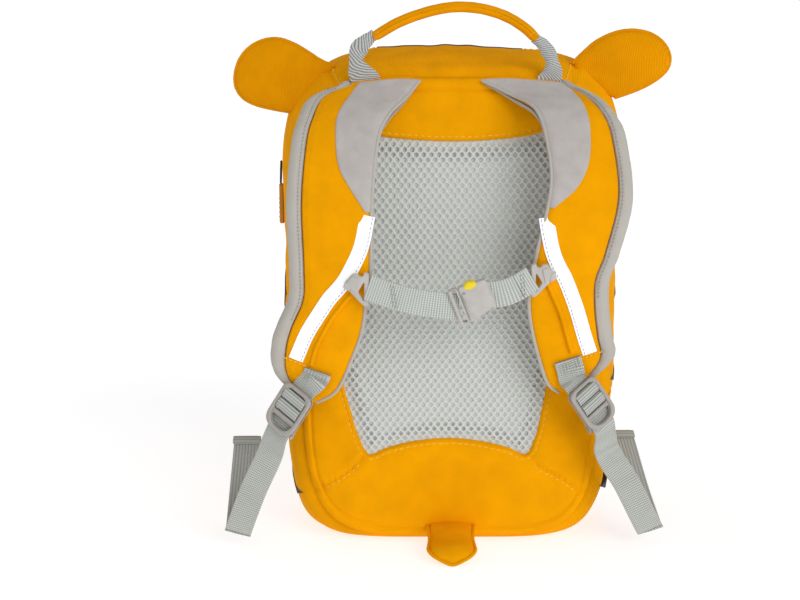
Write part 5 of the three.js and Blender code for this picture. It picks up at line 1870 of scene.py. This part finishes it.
def ladder_lock(side):
    s = SLOTS
    inside = WEB_WIDTH / 2 + LOCK_SIDE
    outside = inside + LOCK_EDGE
    top, down, out, across = lock_axes(side)
    lay = basis(-across, -down, out, top)
    frame_loop = lock_frame(outside, s["length"])
    loops = [frame_loop]
    for start, end in (("first", "bar1"), ("middle", "bar2"), ("last", "bar3")):
        loops.append(round_rect(-inside, -s[end], inside, -s[start], 0.9, 3)[::-1])
    loops.append(lock_ring(inside - RING_INSET, s["ring"], s["bottom"])[::-1])
    meshes = [plate(loops, LOCK_THICK, 0.8, lay)]
    # the outer rim stands proud of the bars, round the whole frame
    inner_loop = lock_frame(inside - 0.1, s["length"] - LOCK_EDGE + 0.2, 2.4)[::-1]
    meshes.append(plate([frame_loop, inner_loop], LOCK_THICK + 2.6, 1.2, lay, 4))
    # bars are rounded over
    slots = ((0.5, s["first"]), (s["bar1"], s["middle"]), (s["bar2"], s["last"]), (s["bar3"], s["ring"]))
    for start, end in slots:
        bar = round_rect(-inside - 0.6, -end + 0.1, inside + 0.6, -start - 0.1, 0.9)
        meshes.append(plate([bar], LOCK_THICK + 0.5, 1.1, lay))
    node = f"ladder_lock_{side}"
    dress(joined(f"{node}_moulding", meshes), "plastic", "plastic", node)


def clip_middle(side):
    at, across = CHEST_PLACE[side]
    strap = STRAPS[side]
    return strap.point(at, across * strap.width(at), 2 * RAIL_RADIUS + 2 * GAP + CLIP_THICK / 2 + 0.6)


def rounded(corners, share=0.28, steps=5):
    """A polygon with its corners rounded off."""
    loop = []
    count = len(corners)
    for i, corner in enumerate(corners):
        before = corner.lerp(corners[i - 1], share)
        after = corner.lerp(corners[(i + 1) % count], share)
        for t in spread(0, 1, steps):
            p = before.lerp(corner, t).lerp(corner.lerp(after, t), t)
            loop.append((p.x, p.y))
    return loop


def chest_clip(side):
    sign = 1 if side == "left" else -1

    def corners(*places):
        return [Vector((sign * x * CLIP_RING, y * CLIP_RING)) for x, y in places]

    outline = rounded(corners(
        (-2.4, 0.4), (-0.8, 2.2), (0.0, 2.15), (0.3, 1.75), (0.75, 1.8), (1.1, 2.5), (1.8, 2.2), (1.7, -3.1),
        (1.0, -3.2),
    ), 0.2)
    hole = rounded(corners((1.0, 0.9), (0.0, -0.8), (1.0, -2.3)), 0.12)
    strap = STRAPS[side]
    out = strap.out(CHEST_PLACE[side][0])
    level = (Vector((1, 0, 0)) - out * out.x).normalized()
    lay = basis(level, out.cross(level), out, clip_middle(side))
    meshes = [plate([outline, hole[::-1]], CLIP_THICK, 0.75, lay)]
    # the body that grips the rail
    jaw = rounded(corners((-2.25, 0.35), (-0.9, 1.9), (0.15, 1.5), (-0.5, -0.9)), 0.2)
    meshes.append(plate([jaw], CLIP_THICK + 1.8, 0.9, lay))
    foot = rounded(corners((-2.35, -0.1), (-2.0, 0.9), (-1.3, 0.9), (-1.2, -0.7)), 0.25)
    meshes.append(plate([foot], CLIP_THICK + 2.8, 0.8, lay))
    node = f"chest_clip_{side}"
    dress(joined(f"{node}_moulding", meshes), "plastic_pale", "plastic", node)


def buckle_axes():
    along = Vector((math.cos(BUCKLE_TILT), 0, math.sin(BUCKLE_TILT)))
    up = Vector((-math.sin(BUCKLE_TILT), 0, math.cos(BUCKLE_TILT)))
    y = (clip_middle("left").y + clip_middle("right").y) / 2 - 1.5
    return Vector((BUCKLE_X * HALF, y, BUCKLE_Z * HEIGHT)), along, up, NEARER


def buckle():
    middle, along, up, out = buckle_axes()
    lay = basis(along, up, out, middle)
    left = -BUCKLE_LENGTH / 2
    end = left + BUCKLE_LENGTH - BUCKLE_TONGUE
    half = BUCKLE_HEIGHT / 2
    tip = -left - 1.2
    button_x, button_y = left + 15.5, half - 1.6
    slot = round_rect(left + 2.6, -half + 2, left + 5.6, half - 2, 0.8)[::-1]
    pin_hole = oval(left + 9.6, half * 0.62, 0.8, 0.8, 16)[::-1]

    def eased(start, end, foot, head, step_up=0.0, step_down=0.0, share=0.09):
        """A plate's outline from start to end, with its far end narrowed."""
        low, high = -half + foot, half - head
        places = ((start, low), (end, low + step_up), (end, high - step_down), (start, high))
        return rounded([Vector(p) for p in places], share)

    flange = eased(left, left + 6.6, 0, 0)
    shell = eased(left + 7.3, tip, 0.4, 0.2, 4.6, 1.0)
    core = eased(left + 5.6, tip - 1, 1.6, 1.4, 4.4, 1.0)
    rib = eased(left + 9.0, left + 10.2, 2.6, 7.6, 0.3, share=0.3)
    meshes = [
        plate([flange, slot], BUCKLE_THICK * 0.86, 1.1, lay),
        plate([core], BUCKLE_THICK * 0.7, 0.5, lay),
        plate([shell, pin_hole], BUCKLE_THICK, 0.9, lay, 4),
    ]
    meshes.append(plate([rib], BUCKLE_THICK + 0.7, 0.4, lay))
    dress(joined("buckle_body_moulding", meshes), "plastic_pale", "plastic", "buckle_body")
    tongue = plate([round_rect(end - 3, -half + 5.6, -left, half - 3.2, 1.5)], BUCKLE_THICK - 3, 0.9, lay)
    dress(joined("buckle_tongue_moulding", [tongue]), "plastic_pale", "plastic", "buckle_tongue")
    face = basis(along, up, out, middle + out * 0.2)
    button = plate([oval(button_x, button_y, BUTTON, BUTTON * 0.62)], BUCKLE_THICK + 1.0, 1.5, face, 6)
    dress(joined("buckle_button_moulding", [button], 60), "button", "button_plastic", "buckle_button")


def chest_webbing(side):
    middle, along, up, _ = buckle_axes()
    sign = -1 if side == "left" else 1
    end = middle + along * (sign * (BUCKLE_LENGTH / 2 - 3.2))
    start = clip_middle(side) + Vector((-sign * (CLIP_RING * 1.55), -1.2, 0))
    points = []
    for t in spread(0, 1, 8):
        p = start.lerp(end, t)
        sag = math.sin(math.pi * t)
        points.append(p + Vector((0, -2 * sag, -2.5 * sag)))
    acrosses = [Vector((0, 0, 1)).lerp(up, min(i / 7, 1)) for i in range(9)]
    line, sides = through(points, int(length_of(points) / 0.42), extras=acrosses)
    shape = Shape()
    ribbon(shape, line, sides, CHEST_WIDTH - 1, CHEST_THICK * 0.7)
    # the webbing is doubled back and sewn near the clip
    part = line[:int(len(line) * 0.34)]
    lifted = [p + Vector((0, -CHEST_THICK * 0.62, 0)) for p in part]
    ribbon(shape, lifted, sides[:len(part)], CHEST_WIDTH - 1.4, CHEST_THICK * 0.45)
    node = f"chest_webbing_{side}"
    dress(shape.piece(f"{node}_band"), "webbing_fine", "webbing", node)
    threads = Shape()
    for back in (5, 10):
        at = len(part) - back
        p = lifted[at] + Vector((0, -CHEST_THICK * 0.35, 0))
        row = [p + sides[at].normalized() * t for t in spread(-8, 8, 12)]
        stitch_row(threads, row, [NEARER], 2.0, 2.6, 0.28)
    dress(threads.piece(f"{node}_stitches"), "thread_grey", "webbing")


for side in SIDES:
    ladder_lock(side)
    chest_clip(side)
    chest_webbing(side)
buckle()


# Haul loop

HANDLE_Y = BACK_SEAM - BACK_THICK / 2


def handle_grip():
    points = [Vector((r["x"] * HALF, HANDLE_Y - 2, r["z"] * HEIGHT)) for r in HANDLE_LINE]
    line = through(points, 170)
    sections = []
    for i, p in enumerate(line):
        way = heading(line, i)
        up = DEEPER.cross(way).normalized()
        to_end = min(i, len(line) - 1 - i)
        size = GRIP_RADIUS * (0.93 + 0.07 * smooth(0, 10, to_end)) * (1 - 0.25 * hump(to_end, 2.0))
        ring = []
        for k in range(24):
            a = 2 * math.pi * k / 24
            crease = 0.12 * rough(i * 0.16, math.cos(a) * 1.6, math.sin(a) * 1.6)
            seam = -0.35 * hump((a - math.pi * 1.42), 0.13)
            r = size + crease + seam
            ring.append(p + NEARER * (r * math.cos(a)) + up * (r * math.sin(a)))
        sections.append(ring)
    shape = Shape()
    shape.tube(sections)
    dress(shape.piece("handle_grip_tube"), "grip", "grip_cloth", "handle_grip")
    threads = Shape()
    for i in (6, len(line) - 8):
        way = heading(line, i)
        up = DEEPER.cross(way).normalized()
        ring = [
            line[i] + (NEARER * math.cos(a) + up * math.sin(a)) * (GRIP_RADIUS + 0.05)
            for a in spread(-1.3, 1.3, 14)
        ]
        stitch_row(threads, ring, [NEARER], 1.3, 2.0, 0.3)
    dress(threads.piece("handle_stitches"), "thread", "grip_cloth")


def handle_webbing(side):
    table = HANDLE_ENDS[side]
    points = [Vector((r["x"] * HALF, HANDLE_Y + r["out"] * 0.5, r["z"] * HEIGHT)) for r in table]
    root = points[0] + Vector((0, 2.0, -3.0))
    grip = points[-1] + (points[-1] - points[-2]).normalized() * 3.0
    points = [root] + points + [grip]
    widths = [r["wide"] * WEB_WIDTH for r in table]
    carried = [Vector((w, 0, 0)) for w in [widths[0]] + widths + [widths[-1]]]
    line, sizes = through(points, int(length_of(points) / 0.45), extras=carried)
    shape = Shape()
    sections = []
    walked = 0.0
    for i, p in enumerate(line):
        if i:
            walked += (p - line[i - 1]).length
        way = heading(line, i)
        side_way = Vector((1, 0, 0.15))
        side_way = (side_way - way * side_way.dot(way)).normalized()
        up = way.cross(side_way)
        if up.y > 0:
            up.negate()
        half = sizes[i].x / 2
        fold = clamp(1 - half / (WEB_WIDTH * 0.55), 0, 1)
        top, under = [], []
        for u in spread(-1, 1, 21):
            cup = fold * -3.4 * (u * u - 0.3)
            rib = 0.18 * math.cos(2 * math.pi * (walked + u * half * 0.7) / RIB)
            top.append(p + side_way * (u * half) + up * (cup + 0.7 + rib))
            under.append(p + side_way * (u * half * 0.985) + up * (cup - 0.7))
        sections.append(top + under[::-1])
    shape.tube(sections)
    node = f"handle_webbing_{side}"
    dress(shape.piece(f"{node}_band"), "webbing_bold", "webbing", node)


handle_grip()
for side in SIDES:
    handle_webbing(side)


# Zip slider and pull, on the left side

def zip_pull():
    angle = side_angle(PULL_Z, "left")
    seat = on_skin(angle, ZIP_PLACE, -ZIP_INSET)
    out = skin_normal(angle, ZIP_PLACE)
    way = out.cross(DEEPER).normalized()
    if way.z > 0:
        way.negate()
    lay = basis(DEEPER, -way, DEEPER.cross(-way), seat + out * 1.9)
    body = [Vector(p) for p in ((-3.6, 4.6), (3.6, 4.6), (3.9, 0), (2.0, -5.2), (-2.0, -5.2), (-3.9, 0))]
    bridge = round_rect(-1.1, -2.6, 1.1, 3.2, 1.0)
    raised = lay.copy()
    raised.translation = (seat + out * 3.0) * MM
    meshes = [plate([rounded(body, 0.2)], 2.6, 0.6, lay), plate([bridge], 2.2, 0.7, raised)]
    dress(joined("zip_slider_body", meshes), "metal", "zip_metal", "zip_slider")
    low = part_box("zip_cord")[0] / MM
    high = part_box("zip_cord")[1] / MM
    x, y = (low.x + high.x) / 2 - PULL_HANGS_OFF, (low.y + high.y) / 2
    shape = Shape()
    turns = []
    for t in spread(0, 1, 40):
        a = t * 2 * math.pi
        spare = 1.5 * math.sin(a)
        z = mix(high.z, low.z, 0.5 - 0.5 * math.cos(a))
        turns.append(Vector((x + 0.27 * math.cos(a), y + spare, z)))
    cording(shape, turns, [Vector((-1, 0, 0))] * len(turns), 0.75, 8, 0.1)
    dress(shape.piece("zip_cord_loop"), "cord", "pull_cord", "zip_cord")
    box_low, box_high = (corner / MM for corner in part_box("zip_pull"))
    middle = (box_low + box_high) / 2 - Vector((PULL_HANGS_OFF, 0, 0))
    half = (box_high - box_low) / 2
    lay = basis(DEEPER, Vector((0, 0, 1)), Vector((1, 0, 0)), middle)
    outline = round_rect(-half.y, -half.z, half.y, half.z, 2.2)
    hole = oval(0, half.z - 2.4, 0.9, 0.9, 16)[::-1]
    meshes = [plate([outline, hole], 2 * half.x, 1.0, lay)]
    for k in range(5):
        z = -half.z + 4.5 + k * 3.4
        grip = round_rect(-half.y + 0.5, z, half.y - 0.5, z + 1.3, 0.6)
        meshes.append(plate([grip], 2 * half.x + 0.6, 0.5, lay))
    dress(joined("zip_pull_moulding", meshes), "pull", "pull_plastic", "zip_pull")


zip_pull()


# Stitches on the bag

def panel_front(p):
    """A place on the padded panel."""
    outer = skin_reach(p.x, p.z - MIDDLE) - math.hypot(p.x, p.z - MIDDLE)
    return Vector((p.x, panel_base(p) - panel_rise(p.x, p.z, from_edge(p.x, p.z), outer), p.z))


def bag_stitches():
    shape = Shape()
    ring = [panel_front(p) for p in spacer_outline(360, 3.1)]
    stitch_row(shape, ring + ring[:1], [NEARER], 3.1, 4.6)
    for line in SEAM_LINES.values():
        row = [panel_front(p - Vector((0, 0, 2.76))) for p in line[2:] if panel_share(p) < 0.94]
        stitch_row(shape, row, [NEARER], 2.9)
    for seam in TOP_SEAMS:
        angle = seam + math.copysign(0.022, 1.6 - seam)
        depths = spread(0.02, 0.34, 20)
        line = [on_skin(angle, along, 0.1) for along in depths]
        ups = [skin_normal(angle, along) for along in depths]
        stitch_row(shape, line, ups, 2.6, 3.8)
    for along in (ZIP_BACK - 2.6 / DEPTH, ZIP_FRONT + 2.6 / DEPTH):
        angles = spread(ARCH_END + 0.02, math.pi - ARCH_END - 0.02, 260)
        line = [on_skin(a, along, 0.05) for a in angles]
        ups = [skin_normal(a, along) for a in angles]
        stitch_row(shape, line, ups, thick=0.36)
    dress(shape.piece("bag_stitches"), "thread", "yellow_cloth")


def seam_binding(name, start, end):
    """A glimpse of satin binding beside the strap's root: a wedge over the gusset's back seam."""
    front, back = [], []
    for t in spread(0, 1, 14):
        angle = mix(start, end, t)
        reach = 0.06 * (1 - t) ** 0.8 + 0.012
        depths = spread(0.004, reach, 5)
        front.append([on_skin(angle, along, 0.9 + 0.25 * rough(t * 9, along * 40)) for along in depths])
        back.append([on_skin(angle, along, 0.1) for along in depths])
    shape = Shape()
    shape.slab(front, back)
    dress(shape.piece(name), "satin", "yellow_cloth")


bag_stitches()
seam_binding("binding_left", math.radians(129.5), math.radians(141))
seam_binding("binding_right", math.radians(50.5), math.radians(38))
